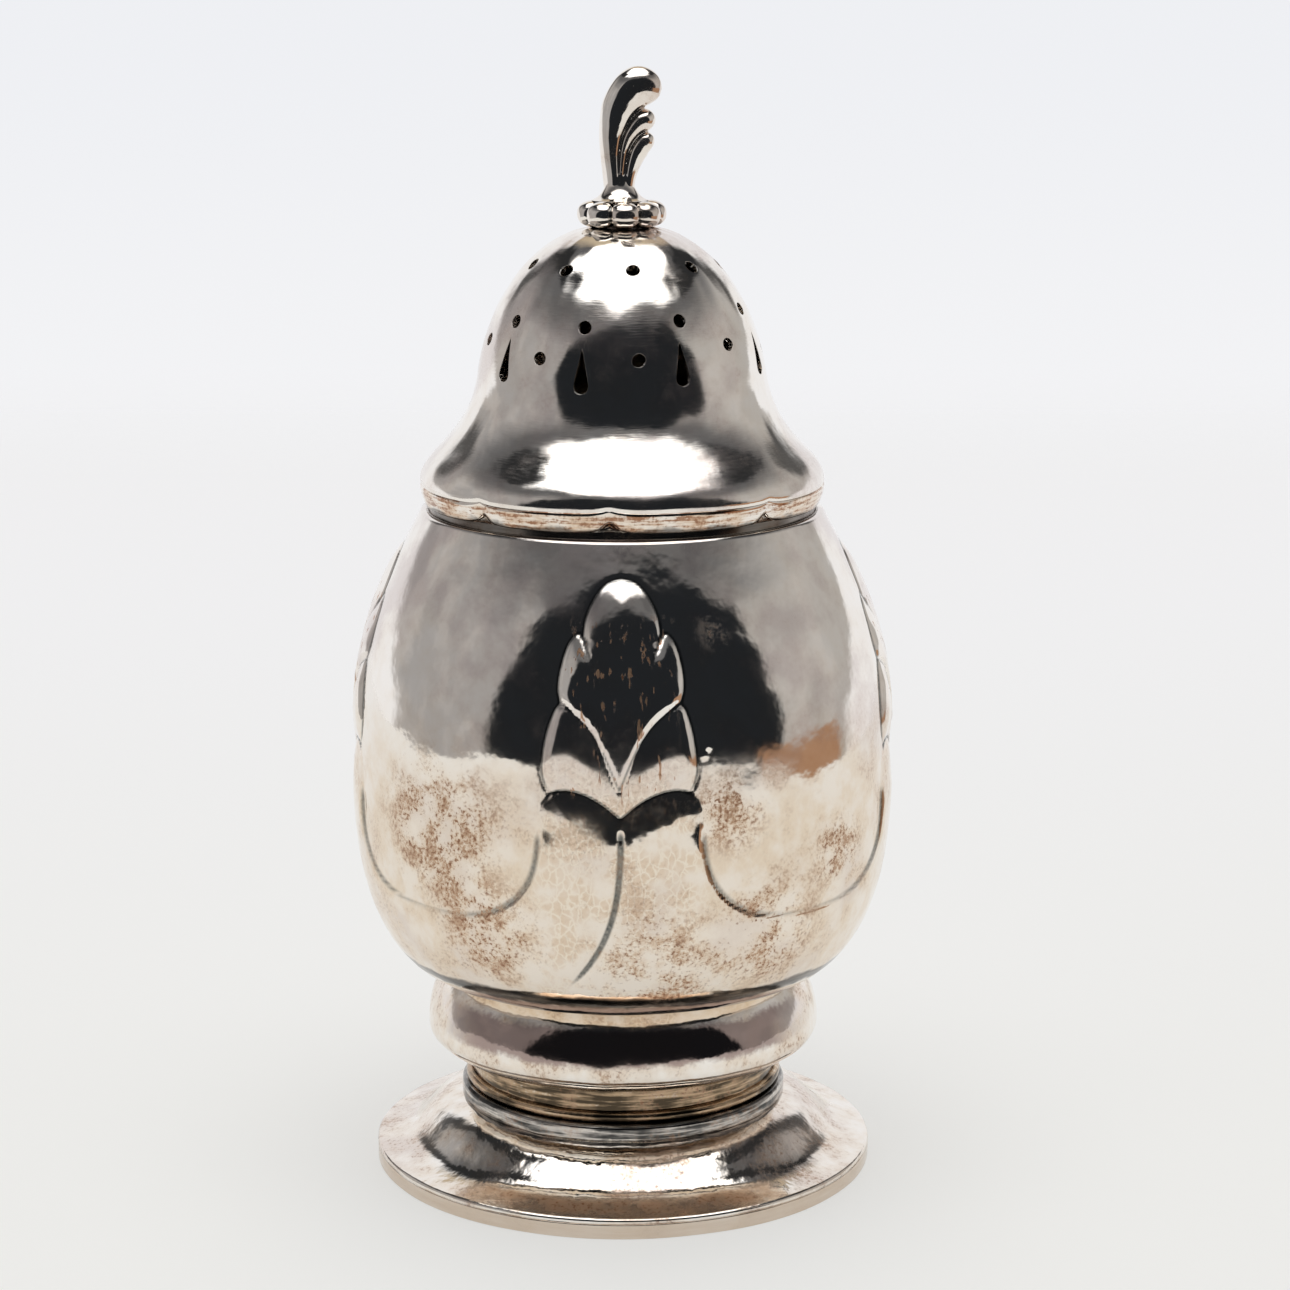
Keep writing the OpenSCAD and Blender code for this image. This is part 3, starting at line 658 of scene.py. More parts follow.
lid_rows = len(row_lengths)
cell = 2 * np.pi / LID_COLUMNS
kept = np.ones((lid_rows - 1, LID_COLUMNS), bool)
lid_points = [on_lid(*np.meshgrid(angles(LID_COLUMNS), row_lengths)).reshape(-1, 3)]
ring_faces = []
next_point = lid_rows * LID_COLUMNS
for turn, height, outline in holes:
    along = length_at(height)
    radius = float(np.interp(along, lid_length, lid_path[:, 0]))
    half = (np.abs(outline[:, 0]).max() + MARGIN) / radius
    lowest, highest = outline[:, 1].min(), outline[:, 1].max()
    left, right = int(np.floor((turn - half) / cell)), int(np.ceil((turn + half) / cell))
    low = int(np.searchsorted(row_lengths, along + lowest - MARGIN)) - 1
    high = int(np.searchsorted(row_lengths, along + highest + MARGIN))
    kept[np.ix_(np.arange(low, high), np.arange(left, right) % LID_COLUMNS)] = False
    loop = window_loop(low, high, left, right)
    flat = np.stack([(loop[:, 1] * cell - turn) * radius, row_lengths[loop[:, 0]] - along], axis=1)
    middle = (lowest + highest) / 2
    way = np.arctan2(outline[:, 1] - middle, outline[:, 0])
    order = np.argsort(way)
    bearing = np.arctan2(flat[:, 1] - middle, flat[:, 0])
    target = np.stack([np.interp(bearing, way[order], part, period=2 * np.pi)
                       for part in outline[order].T], axis=1)
    ids = [loop[:, 0] * LID_COLUMNS + loop[:, 1] % LID_COLUMNS]
    for step in RING_STEPS:
        ring = flat + step * (target - flat)
        lid_points.append(on_lid(turn + ring[:, 0] / radius, along + ring[:, 1]))
        ids.append(next_point + np.arange(len(loop)))
        next_point += len(loop)
    ids = np.array(ids)
    beside = np.roll(ids, -1, axis=1)
    ring_faces.append(np.stack([ids[:-1], beside[:-1], beside[1:], ids[1:]], axis=-1).reshape(-1, 4))
lid_faces = grid_faces(lid_rows, LID_COLUMNS)[kept.ravel()]
lid = make_mesh("lid_dome_pierced", np.vstack(lid_points), [lid_faces] + ring_faces)
modify(lid, "sheet", "SOLIDIFY", thickness=SHEET * METRE, offset=-1, use_even_offset=True)
modify(lid, "sawn_edge", "BEVEL", width=SAWN_EDGE * METRE, segments=1, limit_method="ANGLE",
       angle_limit=np.radians(50), use_clamp_overlap=False, harden_normals=True)
print("lid:", len(lid.data.polygons), "faces before its thickness")

# %% [markdown]
# ## Rim, sleeve and mouth ring
# The lid's rim is drawn in at eight places, like the edge of a pie. Between two notches it swells a little,
# and its lower edge rises to a small point at each notch. The flange behind it rests on the ring inside the
# mouth, and the sleeve slides down into that ring.

# %% Lobed rim
RIM_DROP, RIM_COLUMNS, FLANGE_H, RING_WALL = 0.05, 576, 1.0, 1.0
rim_theta = angles(RIM_COLUMNS)[None, :]
rim_bore = ring_r + 0.15
rim_low, flange_top = rim_z - RIM_DROP, seat_z + FLANGE_H
fold, under_lip = (rim_r - 0.28, rim_low + 0.4), (lip_r, lip_z - 0.35)
# the rim's section: from its lower inner edge round the outside, under the lip and back along the flange
rim_loop = np.vstack([
    cubic((rim_bore + 0.05, rim_low + 0.2), (rim_r - 0.7, rim_low - 0.1), (rim_r - 0.4, rim_low), fold, 10),
    cubic(fold, (rim_r - 0.05, rim_low + 1.1), (lip_r - 0.02, lip_z - 1.2), under_lip, 12)[1:],
    cubic(under_lip, (lip_r, lip_z - 0.05), (lip_r - 0.12, lip_z + 0.12), (lip_r - 0.4, lip_z), 6)[1:],
    [(rim_bore, rim_top - 0.1), (rim_bore - 0.05, flange_top), (sleeve_r + 0.05, flange_top),
     (sleeve_r, seat_z), (rim_bore - 0.1, seat_z), (rim_bore, seat_z + 0.1)]])
on_face = ease(rim_loop[:, 0], rim_bore, rim_r - 0.5)[:, None]
hang = np.clip((lip_z - rim_loop[:, 1:]) / (lip_z - rim_low), 0, 1)
crease = on_face * pinch(rim_theta)
rim_push = hand_waves(rim_theta, rim_loop[:, 1:], 7, 0.03, 31) * on_face * hang
rim_radius = rim_loop[:, :1] - crease * (0.3 + 0.7 * hang) + rim_push
rim_height = rim_loop[:, 1:] + crease * (0.55 * (1 - hang) ** 2 + 1.15 * hang**2)
rim = make_mesh("lid_rim_lobed", spin(rim_radius, rim_height, rim_theta).reshape(-1, 3),
                [grid_faces(len(rim_loop), RIM_COLUMNS, True)])
sleeve = turned("lid_sleeve_fitted", hoop(sleeve_r - SHEET, sleeve_r, sleeve_low, sleeve_top))
mouth_ring = turned("mouth_ring_fitted", hoop(ring_r - RING_WALL, ring_r, ring_low, seat_z))
print("rim:", len(rim.data.polygons), "faces,", len(NOTCHES), "notches")

# %% [markdown]
# ## Rosette
# The rosette under the plume is a ring of eight round petals. It is a tube bent into a circle, whose
# thickness swells and shrinks eight times: each swelling is a petal, and each narrow place is the groove
# between two.

# %% Petals
PETALS, PETAL_TURN = 8, np.radians(6)
PETAL_COLUMNS, PETAL_ROWS = PETALS * 32, 36
PETAL_OUT, PETAL_IN, PETAL_FILL, PETAL_BOX = 2.5, 2.2, 1.98, 0.88
petal_theta = angles(PETAL_COLUMNS)[None, :]
tube = np.linspace(0, 2 * np.pi, PETAL_ROWS, endpoint=False)[:, None]
petal_phase = ((petal_theta - PETAL_TURN) / (2 * np.pi) * PETALS + 0.5) % 1 - 0.5
petal = np.sqrt(np.clip(1 - (PETAL_FILL * petal_phase) ** 2, 0, 1))
rosette_half = (plume_z - crown_z) / 2


def square_off(wave):
    """A cosine or sine pushed out towards plus and minus one, which makes an ellipse boxier."""
    return np.sign(wave) * np.abs(wave) ** PETAL_BOX


outward = np.where(np.cos(tube) > 0, PETAL_OUT * (0.45 + 0.55 * petal), PETAL_IN)
rosette_radius = rosette_r - PETAL_OUT + outward * square_off(np.cos(tube))
rosette_height = crown_z + rosette_half + rosette_half * (0.6 + 0.4 * petal) * square_off(np.sin(tube))
rosette_points = spin(rosette_radius, rosette_height, petal_theta).reshape(-1, 3)
rosette = make_mesh("finial_rosette_petals", rosette_points, [grid_faces(PETAL_ROWS, PETAL_COLUMNS, True)])
mark_lines(rosette, (1 - ease(petal, 0.1, 0.62)) * ease(np.cos(tube), -0.2, 0.2))
print("rosette:", len(rosette.data.polygons), "faces")

# %% [markdown]
# ## Plume
# The plume is cast: one big frond that leans left, swells and curls over to the right, and two small fronds
# under its curl. Each frond is a tube of changing girth along a curve. A voxel remesh melts the tubes into
# one casting, and a little smoothing rounds the grooves as polishing does.

# %% Cast the plume
FROND_SIDES, FROND_STEPS, START_ROUND, END_ROUND, THINNEST = 32, 14, 0.02, 0.13, 0.0004
FOOT_SHIFT, FOOT_SIDES, VOXEL = -0.3, 48, 0.1
# of each frond: stations of its path as x and height over the rosette, half widths, half depths and leans
FRONDS = (
    ([(-1.5, 0.4), (-1.65, 3.6), (-1.8, 6.8), (-1.65, 9.4), (-1.2, 11.4), (-0.45, 13.6), (0.8, 15.4),
      (2.5, 16.75), (6.05, 16.6)],
     [1.1, 1.25, 1.45, 1.8, 2.2, 2.65, 3.0, 3.2, 3.0], [1.7, 1.7, 1.9, 2.1, 2.3, 2.5, 2.6, 2.6, 2.3],
     [0.9, 0.8, 0.55, 0.35, 0.2, 0.1, 0, 0, 0]),
    ([(-0.2, 0.4), (-0.05, 4.0), (0.25, 7.0), (0.85, 9.0), (1.85, 10.6), (3.0, 11.7), (4.9, 12.8)],
     [0.6, 0.65, 0.8, 1.1, 1.4, 1.7, 1.6], [1.75, 1.8, 1.9, 2.0, 2.05, 2.05, 1.7], [0, 0]),
    ([(0.9, 0.4), (1.2, 3.4), (1.65, 5.3), (2.4, 7.2), (3.25, 8.5), (4.6, 9.8)],
     [0.8, 0.95, 1.2, 1.5, 1.5, 1.2], [1.6, 1.65, 1.7, 1.75, 1.7, 1.4], [0, 0]))


def frond(stations, widths, depths, leans):
    """Points, quads and fans of a closed tube: elliptic rings across a path in the XZ plane, with both ends
    rounded off like a quarter circle. Lean shears a ring, so that its left side lies further back."""
    path = through(stations, FROND_STEPS)
    t = np.linspace(0, 1, len(path))
    width, depth, lean = (
        np.interp(t, np.linspace(0, 1, len(part)), part) for part in (widths, depths, leans))
    from_end = np.minimum(t / START_ROUND, (1 - t) / END_ROUND)
    blunt = np.sqrt(np.clip(1 - np.clip(1 - from_end, 0, 1) ** 2, THINNEST, 1))
    width, depth = (width * blunt)[:, None], (depth * blunt)[:, None]
    across = normals_of(path)
    a = angles(FROND_SIDES)[None, :]
    x, z = (path[:, k:k + 1] + width * across[:, k:k + 1] * np.cos(a) for k in (0, 1))
    y = depth * np.sin(a) - lean[:, None] * width * np.cos(a)
    ends = [(path[end, 0], 0, path[end, 1]) for end in (0, -1)]
    points = np.vstack([np.stack([x, y, z], axis=-1).reshape(-1, 3), ends])
    return points, *capped_faces(len(path), FROND_SIDES, flipped=True)


def plume_foot():
    """Points, quads and fans of the casting's foot, which spreads over the rosette."""
    path = cubic((4.4, 0.0), (3.2, 0.3), (2.3, 1.2), (1.5, 4.2), 20)
    points = np.vstack([carried(path, angles(FOOT_SIDES)).reshape(-1, 3), [(0, 0, 0), (0, 0, path[-1, 1])]])
    return points + (FOOT_SHIFT, 0, 0), *capped_faces(len(path), FOOT_SIDES)


plume_points, plume_quads, plume_fans, first = [], [], [], 0
for points, quads, fans in [frond(*shape) for shape in FRONDS] + [plume_foot()]:
    plume_points.append(points + (0, 0, plume_z))
    plume_quads.append(quads + first)
    plume_fans.append(fans + first)
    first += len(points)
plume = make_mesh("finial_plume_cast", np.vstack(plume_points), plume_quads + plume_fans)
modify(plume, "melt", "REMESH", mode="VOXEL", voxel_size=VOXEL * METRE, use_smooth_shade=True)
modify(plume, "polish", "SMOOTH", factor=0.5, iterations=14)
print("plume:", first, "points before melting")

# %% [markdown]
# ## Shader arithmetic
# A finish is a small calculation on the surface's coordinates. The class below wraps a socket, so that sums
# can be written as ordinary Python and each operator adds its Math node. Every other node comes from one
# method.

# %% Recipe and socket
class Socket:
    """An output socket that takes part in sums."""

    def __init__(self, recipe, output):
        self.recipe, self.output = recipe, output

    def __add__(self, other):
        return self.recipe.math("ADD", self, other)

    def __sub__(self, other):
        return self.recipe.math("SUBTRACT", self, other)

    def __rsub__(self, other):
        return self.recipe.math("SUBTRACT", other, self)

    def __mul__(self, other):
        return self.recipe.math("MULTIPLY", self, other)

    def __truediv__(self, other):
        return self.recipe.math("DIVIDE", self, other)

    def __pow__(self, other):
        return self.recipe.math("POWER", self, other)

    def __abs__(self):
        return self.recipe.math("ABSOLUTE", self)

    __radd__, __rmul__ = __add__, __mul__


class Recipe:
    """Makes the nodes of one material or of the world."""

    def __init__(self, tree):
        self.tree = tree
        tree.nodes.clear()

    def node(self, kind, settings=None, sockets=None, out=0):
        """Adds a node, sets its settings, fills or links its sockets, and returns one of its outputs."""
        made = self.tree.nodes.new(kind)
        for name, value in (settings or {}).items():
            setattr(made, name, value)
        for key, value in (sockets or {}).items():
            if isinstance(value, Socket):
                self.tree.links.new(value.output, made.inputs[key])
            else:
                made.inputs[key].default_value = value
        return Socket(self, made.outputs[out]) if made.outputs else made

    def math(self, operation, a, b=0.0):
        return self.node("ShaderNodeMath", {"operation": operation}, {0: a, 1: b})

    def vector(self, operation, a, b, out=0):
        return self.node("ShaderNodeVectorMath", {"operation": operation}, {0: a, 1: b}, out)

    def step(self, value, low, high):
        return self.node("ShaderNodeMapRange", {"interpolation_type": "SMOOTHSTEP"},
                         {"Value": value, "From Min": low, "From Max": high})

    def near(self, value, low, high, soft):
        """1 between low and high, with soft edges."""
        return self.step(value, low - soft, low + soft) * (1 - self.step(value, high - soft, high + soft))

    def mix(self, share, a, b):
        return self.node("ShaderNodeMix", {"data_type": "RGBA"}, {0: share, 6: a, 7: b}, 2)

    def noise(self, vector, scale, detail, rough):
        return self.node("ShaderNodeTexNoise", {},
                         {"Vector": vector, "Scale": scale, "Detail": detail, "Roughness": rough})

    def streaks(self, vector, squeeze, detail, rough):
        """Noise that is drawn out along the axes where squeeze is small."""
        return self.noise(self.vector("MULTIPLY", vector, squeeze), 1.0, detail, rough)

    def millimetres(self):
        """The Object coordinates, in millimetres."""
        return self.vector("MULTIPLY", self.node("ShaderNodeTexCoord", out=3), (1 / METRE,) * 3)

    def split(self, vector):
        """The three parts of a vector as sockets."""
        parts = self.node("ShaderNodeSeparateXYZ", {}, {0: vector}).output.node.outputs
        return [Socket(self, part) for part in parts]


def new_material(name):
    """A material and the recipe for its nodes."""
    material = bpy.data.materials.new(name)
    material.use_nodes = True
    return material, Recipe(material.node_tree)


print("recipe ready")

# %% [markdown]
# ## Silver
# Polished silver is nearly a mirror, so what the eye reads is the way its reflections bend. Hammer marks
# are shallow waves a few millimetres long, which a bump gives. Old polish leaves a warm stain, brown
# mottling in clusters and a dull violet haze; dark tarnish stays in bands where a cloth can't reach, such
# as a soldered joint. Some black bands are painted instead: painted shade in the gap under the lid's rim,
# and a painted reflection of the knop's dark band on the body's underside.

# %% Silver finish
CLEAN, WARM = (0.94, 0.90, 0.85, 1), (0.80, 0.66, 0.50, 1)
TAN, BROWN = (0.62, 0.41, 0.27, 1), (0.32, 0.155, 0.085, 1)
VIOLET, BLACK = (0.66, 0.59, 0.60, 1), (0.04, 0.035, 0.03, 1)
# sizes in millimetres of the broad, middling and fine spots
BROAD, PATCH, FINE = 17, 5, 0.6
# roughness of polished silver, and the height of its grain in millimetres
POLISHED, GRAIN = 0.06, 0.002


def silver(name, ripple, dent, stain, mottle, haze, bands=(), extra=None, brushed=0.0):
    """Hammered silver: waves of length ripple and height dent in millimetres, and shares of stain, mottling
    and haze. A band is a low and a high level, a colour and a share. Extra adds a finish of the piece's own,
    and brushed is the depth of fine scratches that run round the piece."""
    material, r = new_material(name)
    mm = r.millimetres()
    level = r.split(mm)[2]
    broad = r.noise(mm, 1 / BROAD, 2, 0.6)
    patch = r.noise(mm, 1 / PATCH, 3, 0.6)
    fine = r.noise(mm, 1 / FINE, 3, 0.65)
    streak = r.streaks(mm, (0.12, 0.12, 1.4), 2, 0.6)
    stained = r.step(patch * 0.5 + broad * 0.5, 0.36, 0.64) * stain
    hazed = r.step(broad * 0.7 + patch * 0.3, 0.47, 0.60) * haze
    speckled = r.step(fine * 0.55 + patch * 0.45, 0.49, 0.64)
    mottled = speckled * r.step(broad * 0.6 + patch * 0.4, 0.47, 0.60) * mottle
    colour = r.mix(hazed, r.mix(stained, CLEAN, WARM), VIOLET)
    roughness = POLISHED + stained * 0.05 + hazed * 0.10
    height = r.noise(mm, 1 / ripple, 2, 0.45) * dent + fine * GRAIN
    if brushed:
        scratch = r.streaks(mm, (0.5, 0.5, 5.0), 2, 0.6)
        height = height + scratch * brushed
        roughness = roughness + r.step(broad * 0.5 + scratch * 0.5, 0.40, 0.62) * 0.07
    if extra:
        colour, mottled, height = extra(r, mm, colour, mottled, height, patch, fine)
    colour = r.mix(mottled, colour, r.mix(r.step(fine, 0.52, 0.66), TAN, BROWN))
    tarnish = mottled * 0.4
    for low, high, tint, share in bands:
        ragged = level + (patch - 0.5) * 2.2 + (streak - 0.5) * 1.2
        band = r.near(ragged, low, high, 0.35) * share * (0.7 + 0.6 * streak)
        colour = r.mix(band, colour, tint)
        roughness = roughness + band * 0.05
    normal = r.node("ShaderNodeBump", {}, {"Strength": 1.0, "Distance": METRE, "Height": height})
    surface = r.node("ShaderNodeBsdfPrincipled", {}, {
        "Base Color": colour, "Metallic": 1 - tarnish, "Roughness": roughness + tarnish * 0.3,
        "Normal": normal})
    r.node("ShaderNodeOutputMaterial", {}, {"Surface": surface})
    return material


print("spots of", BROAD, PATCH, "and", FINE, "mm")

# %% [markdown]
# The body's finish has more to it. Its lower half has the most tarnish, with brown specks in clusters, and a
# warm tint painted over it stands in for the warm light of the table. On the trunks the polish has dried in
# a net of upright cells, and a few rust-red streaks run down the leaves. Both keep near the four leaves,
# which stand on the X and Y axes. The chased lines hold black.

# %% Body finish
CREAM, RUST, LINE = (0.96, 0.90, 0.79, 1), (0.42, 0.13, 0.06, 1), (0.09, 0.10, 0.095, 1)
# clusters of brown specks: middle and reach in millimetres
CLUSTERS = (((-27, -31, 61), 15), ((-18, -33, 47), 12), ((4, -36, 42), 14), ((20, -32, 46), 12),
            ((16, -38, 65), 8), ((14, -36, 92), 4), ((31, -24, 56), 8))
NET_CELL, NET_SQUEEZE, NET_WOBBLE = 1.15, (1, 1, 0.6), (1.1, 1.1, 1.1)


def line_tarnish(r, mm, colour, mottled, height, patch, fine):
    """Black in every chased line, thinner where the cloth has rubbed."""
    line = r.node("ShaderNodeAttribute", {"attribute_name": "chased_line"}, out=2)
    return r.mix(r.step(line, 0.2, 0.8) * (0.45 + 0.8 * fine), colour, LINE), mottled, height


def body_tarnish_and_warm_light(r, mm, colour, mottled, height, patch, fine):
    """Painted warm light on the lower half, clusters of specks, net of cells on the trunks, red streaks and
    dark lines.
    """
    x, y, level = r.split(mm)
    off_leaf = r.math("MINIMUM", abs(x), abs(y))
    # painted light: the warm tint on the lower half stands in for the warm light of the table; the lower
    # half also has more tarnish
    low = 1 - r.step(level, 60, 82)
    colour = r.mix(low * (0.5 + 0.5 * r.step(patch, 0.34, 0.62)) * 0.8, colour, WARM)
    clustered = sum(1 - r.step(r.vector("DISTANCE", mm, middle, 1), 0.3 * reach, reach)
                    for middle, reach in CLUSTERS)
    specks = r.step(fine * 0.45 + patch * 0.55, 0.47, 0.60)
    mottled = r.math("MINIMUM", mottled * (0.06 + 0.3 * low) + clustered * specks * 0.9, 1.0)
    drift = r.node("ShaderNodeTexNoise", {}, {"Vector": mm, "Scale": 0.8}, 1)
    wobbled = r.vector("ADD", mm, r.vector("MULTIPLY", drift, NET_WOBBLE))
    net = r.node("ShaderNodeTexVoronoi", {"feature": "DISTANCE_TO_EDGE"},
                 {"Vector": r.vector("MULTIPLY", wobbled, NET_SQUEEZE), "Scale": 1 / NET_CELL})
    cells = low * (0.2 + 0.8 * (1 - r.step(off_leaf, 9, 14))) * r.step(patch, 0.36, 0.56)
    colour = r.mix(cells * r.step(net, 0.05, 0.22) * 0.2, colour, TAN)
    colour = r.mix(cells * (1 - r.step(net, 0.02, 0.09)) * 0.45, colour, CREAM)
    drip = r.streaks(mm, (1.1, 1.1, 0.22), 2, 0.5)
    drips = r.step(drip, 0.62, 0.68) * (1 - r.step(off_leaf, 6, 9)) * r.near(level, 66, 92, 3)
    colour = r.mix(drips, colour, RUST)
    colour, _, _ = line_tarnish(r, mm, colour, mottled, height, patch, fine)
    return colour, mottled + drips * 0.9, height


print(len(CLUSTERS), "clusters of specks")

# %% [markdown]
# The other pieces have smaller habits. The rim has gold and brown streaks along it, the knop a painted plum
# reflection of the dark room, the foot a gold tint painted on its brim as a warm reflection, and the stem
# streaks that run round it, with a few painted highlights. A finish is then one row of a table, and each row
# makes one material.

# %% Rim, knop, foot and stem finishes
PLUM_REFLECTION, PINK = (0.36, 0.27, 0.25, 1), (0.66, 0.54, 0.43, 1)
STEM_DARK, STEM_GOLD = (0.08, 0.06, 0.04, 1), (0.50, 0.36, 0.23, 1)
COLLAR_DARK, COLLAR_GREY = (0.06, 0.06, 0.058, 1), (0.60, 0.56, 0.52, 1)


def rim_streaks(r, mm, colour, mottled, height, patch, fine):
    """Gold and brown streaks that run along the rim."""
    streak = r.streaks(mm, (0.22, 0.22, 2.2), 3, 0.6)
    colour = r.mix(r.step(streak * 0.7 + patch * 0.3, 0.40, 0.60) * 0.8, colour, TAN)
    colour = r.mix(r.step(streak * 0.6 + fine * 0.4, 0.49, 0.60) * 0.9, colour, BROWN)
    return colour, mottled * 0.4, height


# painted reflection: the plum band stands in for the dark room that the knop reflects
def plum_reflection_band(r, mm, colour, mottled, height, patch, fine):
    """A dark plum band round the knop, painted as the reflection of the dark room, that fades where the knop
    turns away.
    """
    x, _, level = r.split(mm)
    ragged = level + (patch - 0.5) * 2.4 + (fine - 0.5) * 1.2
    band = r.near(ragged, bulge_z + 1.4, bulge_z + 6.6, 0.6) * (1 - r.step(abs(x) + patch * 6, 25, 32))
    return r.mix(band * 0.9, colour, PLUM_REFLECTION), mottled * (1 - band), height


# painted reflection: the gold tint on the brim stands in for a warm reflection
def gold_brim_reflection(r, mm, colour, mottled, height, patch, fine):
    """A gold tint painted on the foot's brim, at the front and the back, which stands in for a warm
    reflection.
    """
    x, y, level = r.split(mm)
    on_brim = r.near(level, foot_edge_z + 0.15, brim_z - 0.2, 0.25) * r.step(abs(y) - abs(x), 0, 12)
    gold_reflection = on_brim * (0.55 + 0.45 * r.step(patch, 0.35, 0.6))
    return r.mix(gold_reflection, colour, WARM), r.math("MAXIMUM", mottled, gold_reflection), height


def streaked(dark, light):
    """A finish of dark and light streaks that run round the stem, with a few bright ones painted in as
    highlights.
    """
    def round_streaks(r, mm, colour, mottled, height, patch, fine):
        streak = r.streaks(mm, (0.10, 0.10, 1.5), 3, 0.6)
        colour = r.mix(r.step(streak * 0.7 + patch * 0.3, 0.42, 0.60), dark, light)
        # painted highlights: a few cream streaks stand in for glints of light
        colour = r.mix(r.step(fine * 0.5 + streak * 0.5, 0.55, 0.66) * 0.4, colour, CREAM)
        return colour, mottled, height + streak * 0.03
    return round_streaks


wire_joint = (wire_z - 0.3, wire_z + 0.4, BLACK, 0.7)
FINISHES = {
    # ripple, dent, stain, mottle and haze, then the bands, the piece's own finish and the scratches' depth
    # the body's black band on its underside is a painted reflection of the knop's dark band
    "body": (3.2, 0.05, 0.35, 0.95, 0.5, [(body_z + 2.4, body_z + 4.2, BLACK, 0.9)], body_tarnish_and_warm_light),
    "lid": (4.2, 0.07, 0.35, 0.12, 0.45, [], None, 0.006),
    # the rim's black band is painted shade in the gap under the rim
    "rim": (3.0, 0.05, 0.8, 0.8, 0.0, [(rim_z - 4, rim_z + 0.6, BLACK, 0.8)], rim_streaks),
    "knop": (2.2, 0.05, 0.8, 0.7, 0.15, [(knop_z - 2, knop_z + 0.8, BLACK, 0.3)], plum_reflection_band),
    "stem": (2.0, 0.04, 0.9, 0.7, 0.2, [wire_joint], streaked(STEM_DARK, STEM_GOLD)),
    "collar": (2.0, 0.05, 0.4, 0.4, 0.3, [wire_joint], streaked(COLLAR_DARK, COLLAR_GREY)),
    "foot": (1.9, 0.07, 0.8, 0.6, 0.4, [], gold_brim_reflection),
    "band": (5.0, 0.03, 0.6, 0.1, 0.3, [(-5, 12, PINK, 0.8)]),
    "cast": (5.0, 0.02, 0.5, 0.15, 0.3, [], line_tarnish),
    # the inner black band is painted shade in the gap under the rim, over the mouth ring and the sleeve's
    # foot
    "inner": (4.0, 0.02, 1.0, 0.6, 0.5, [(ring_low, seat_z + 3, BLACK, 0.8)])}
finish = {name: silver("silver_" + name, *row) for name, row in FINISHES.items()}
print("silver finishes:", ", ".join(finish))

# %% [markdown]
# ## Put the pieces on the frame
# Each new surface stands for the solid of the same piece and moves with its body. The peg and washer inside
# the crown already have the right shape, so their solids stay and only get the inner silver.

# %% Ride and replace
def fit_piece(piece, body_name, node, material):
    """The piece moves with a body, stands for one solid and wears a finish."""
    piece.data.materials.append(material)
    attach(piece, body_name)
    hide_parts(node)


for piece, node, look in (
        (foot_band, "foot_band", "band"), (foot_dome, "foot_dome", "foot"),
        (stem_collar, "stem_collar", "collar"), (stem_wire, "stem_wire", "stem"),
        (stem_tube, "stem_tube", "stem"), (knop, "knop", "knop"), (body, "body_shell", "body")):
    fit_piece(piece, "vessel", node, finish[look])
for piece, node, look in (
        (lid, "lid_dome", "lid"), (rim, "lid_rim", "rim"), (rosette, "finial_rosette", "cast"),
        (plume, "finial_plume", "cast")):
    fit_piece(piece, "lid", node, finish[look])
fit_piece(mouth_ring, "vessel", "mouth_ring", finish["inner"])
fit_piece(sleeve, "lid", "lid_sleeve", finish["inner"])
for node in ("finial_peg", "finial_washer"):
    solid = frame["nodes"][node]
    solid.data.materials.clear()
    solid.data.materials.append(finish["inner"])

# %% [markdown]
# ## Camera
# The photograph looks along +Y from half a metre away and a little above the lid, tilted down by twelve
# degrees. A long lens keeps the foot and the lid at nearly the same scale. The camera stands a few
# millimetres to the right, which leaves the caster slightly left of the middle, as in the photograph.

# %% Place the camera
CAMERA_PLACE = (0.0035, -0.500, 0.1884)
CAMERA_TILT = np.radians(12.015)
LENS_MM, SENSOR_MM = 92.1, 36
camera_data = bpy.data.cameras.new("camera")
camera_data.lens = LENS_MM
camera_data.sensor_width = SENSOR_MM
camera_data.clip_end = 50
camera = bpy.data.objects.new("camera", camera_data)
camera.location = CAMERA_PLACE
camera.rotation_euler = (np.pi / 2 - CAMERA_TILT, 0, 0)
scene = bpy.context.scene
scene.collection.objects.link(camera)
scene.camera = camera
print("lens", LENS_MM, "mm")

# %% [markdown]
# ## Studio
# Silver shows the whole room. Here the room is a large soft box overhead, a clouded grey card at each side
# with a dark gap over it and a dark line at its far edge, a brown card low at the right, a gold card high
# up behind, a pale sweep behind, and the dark arch of the room in front. All of it is painted into the
# world by bearing and height, in degrees. The camera sees the sweep's pale colour in every direction, a
# little greyer above the horizon.

# %% World
ARCH_MIDDLE, ARCH_HALF_W, ARCH_TOP, ARCH_TAPER = 7, 65.5, 44, 0.3
DARK, FRONT, GAP = (0.015, 0.017, 0.020, 1), (0.15, 0.15, 0.155, 1), (0.025, 0.026, 0.028, 1)
CARD_LEFT, CARD_RIGHT, CARD_TOP = (0.37, 0.36, 0.36, 1), (0.46, 0.445, 0.43, 1), (0.12, 0.12, 0.125, 1)
SOFT_BOX, BROWN_CARD = (2.0, 2.0, 2.0, 1), (0.40, 0.24, 0.15, 1)
CLOUD, GOLD_CARD = (0.60, 0.57, 0.55, 1), (0.54, 0.45, 0.33, 1)
SWEEP, SWEEP_HIGH = (0.893, 0.895, 0.912, 1), (0.86, 0.87, 0.90, 1)
scene.world = bpy.data.worlds.new("studio")
scene.world.use_nodes = True
w = Recipe(scene.world.node_tree)
way = w.node("ShaderNodeTexCoord", out=0)
x, y, z = w.split(way)
height = w.math("DEGREES", w.math("ARCSINE", z))
bearing = w.math("DEGREES", w.math("ARCTAN2", x, y * -1))
aside = abs(bearing)
right = w.step(x, -0.35, 0.35)

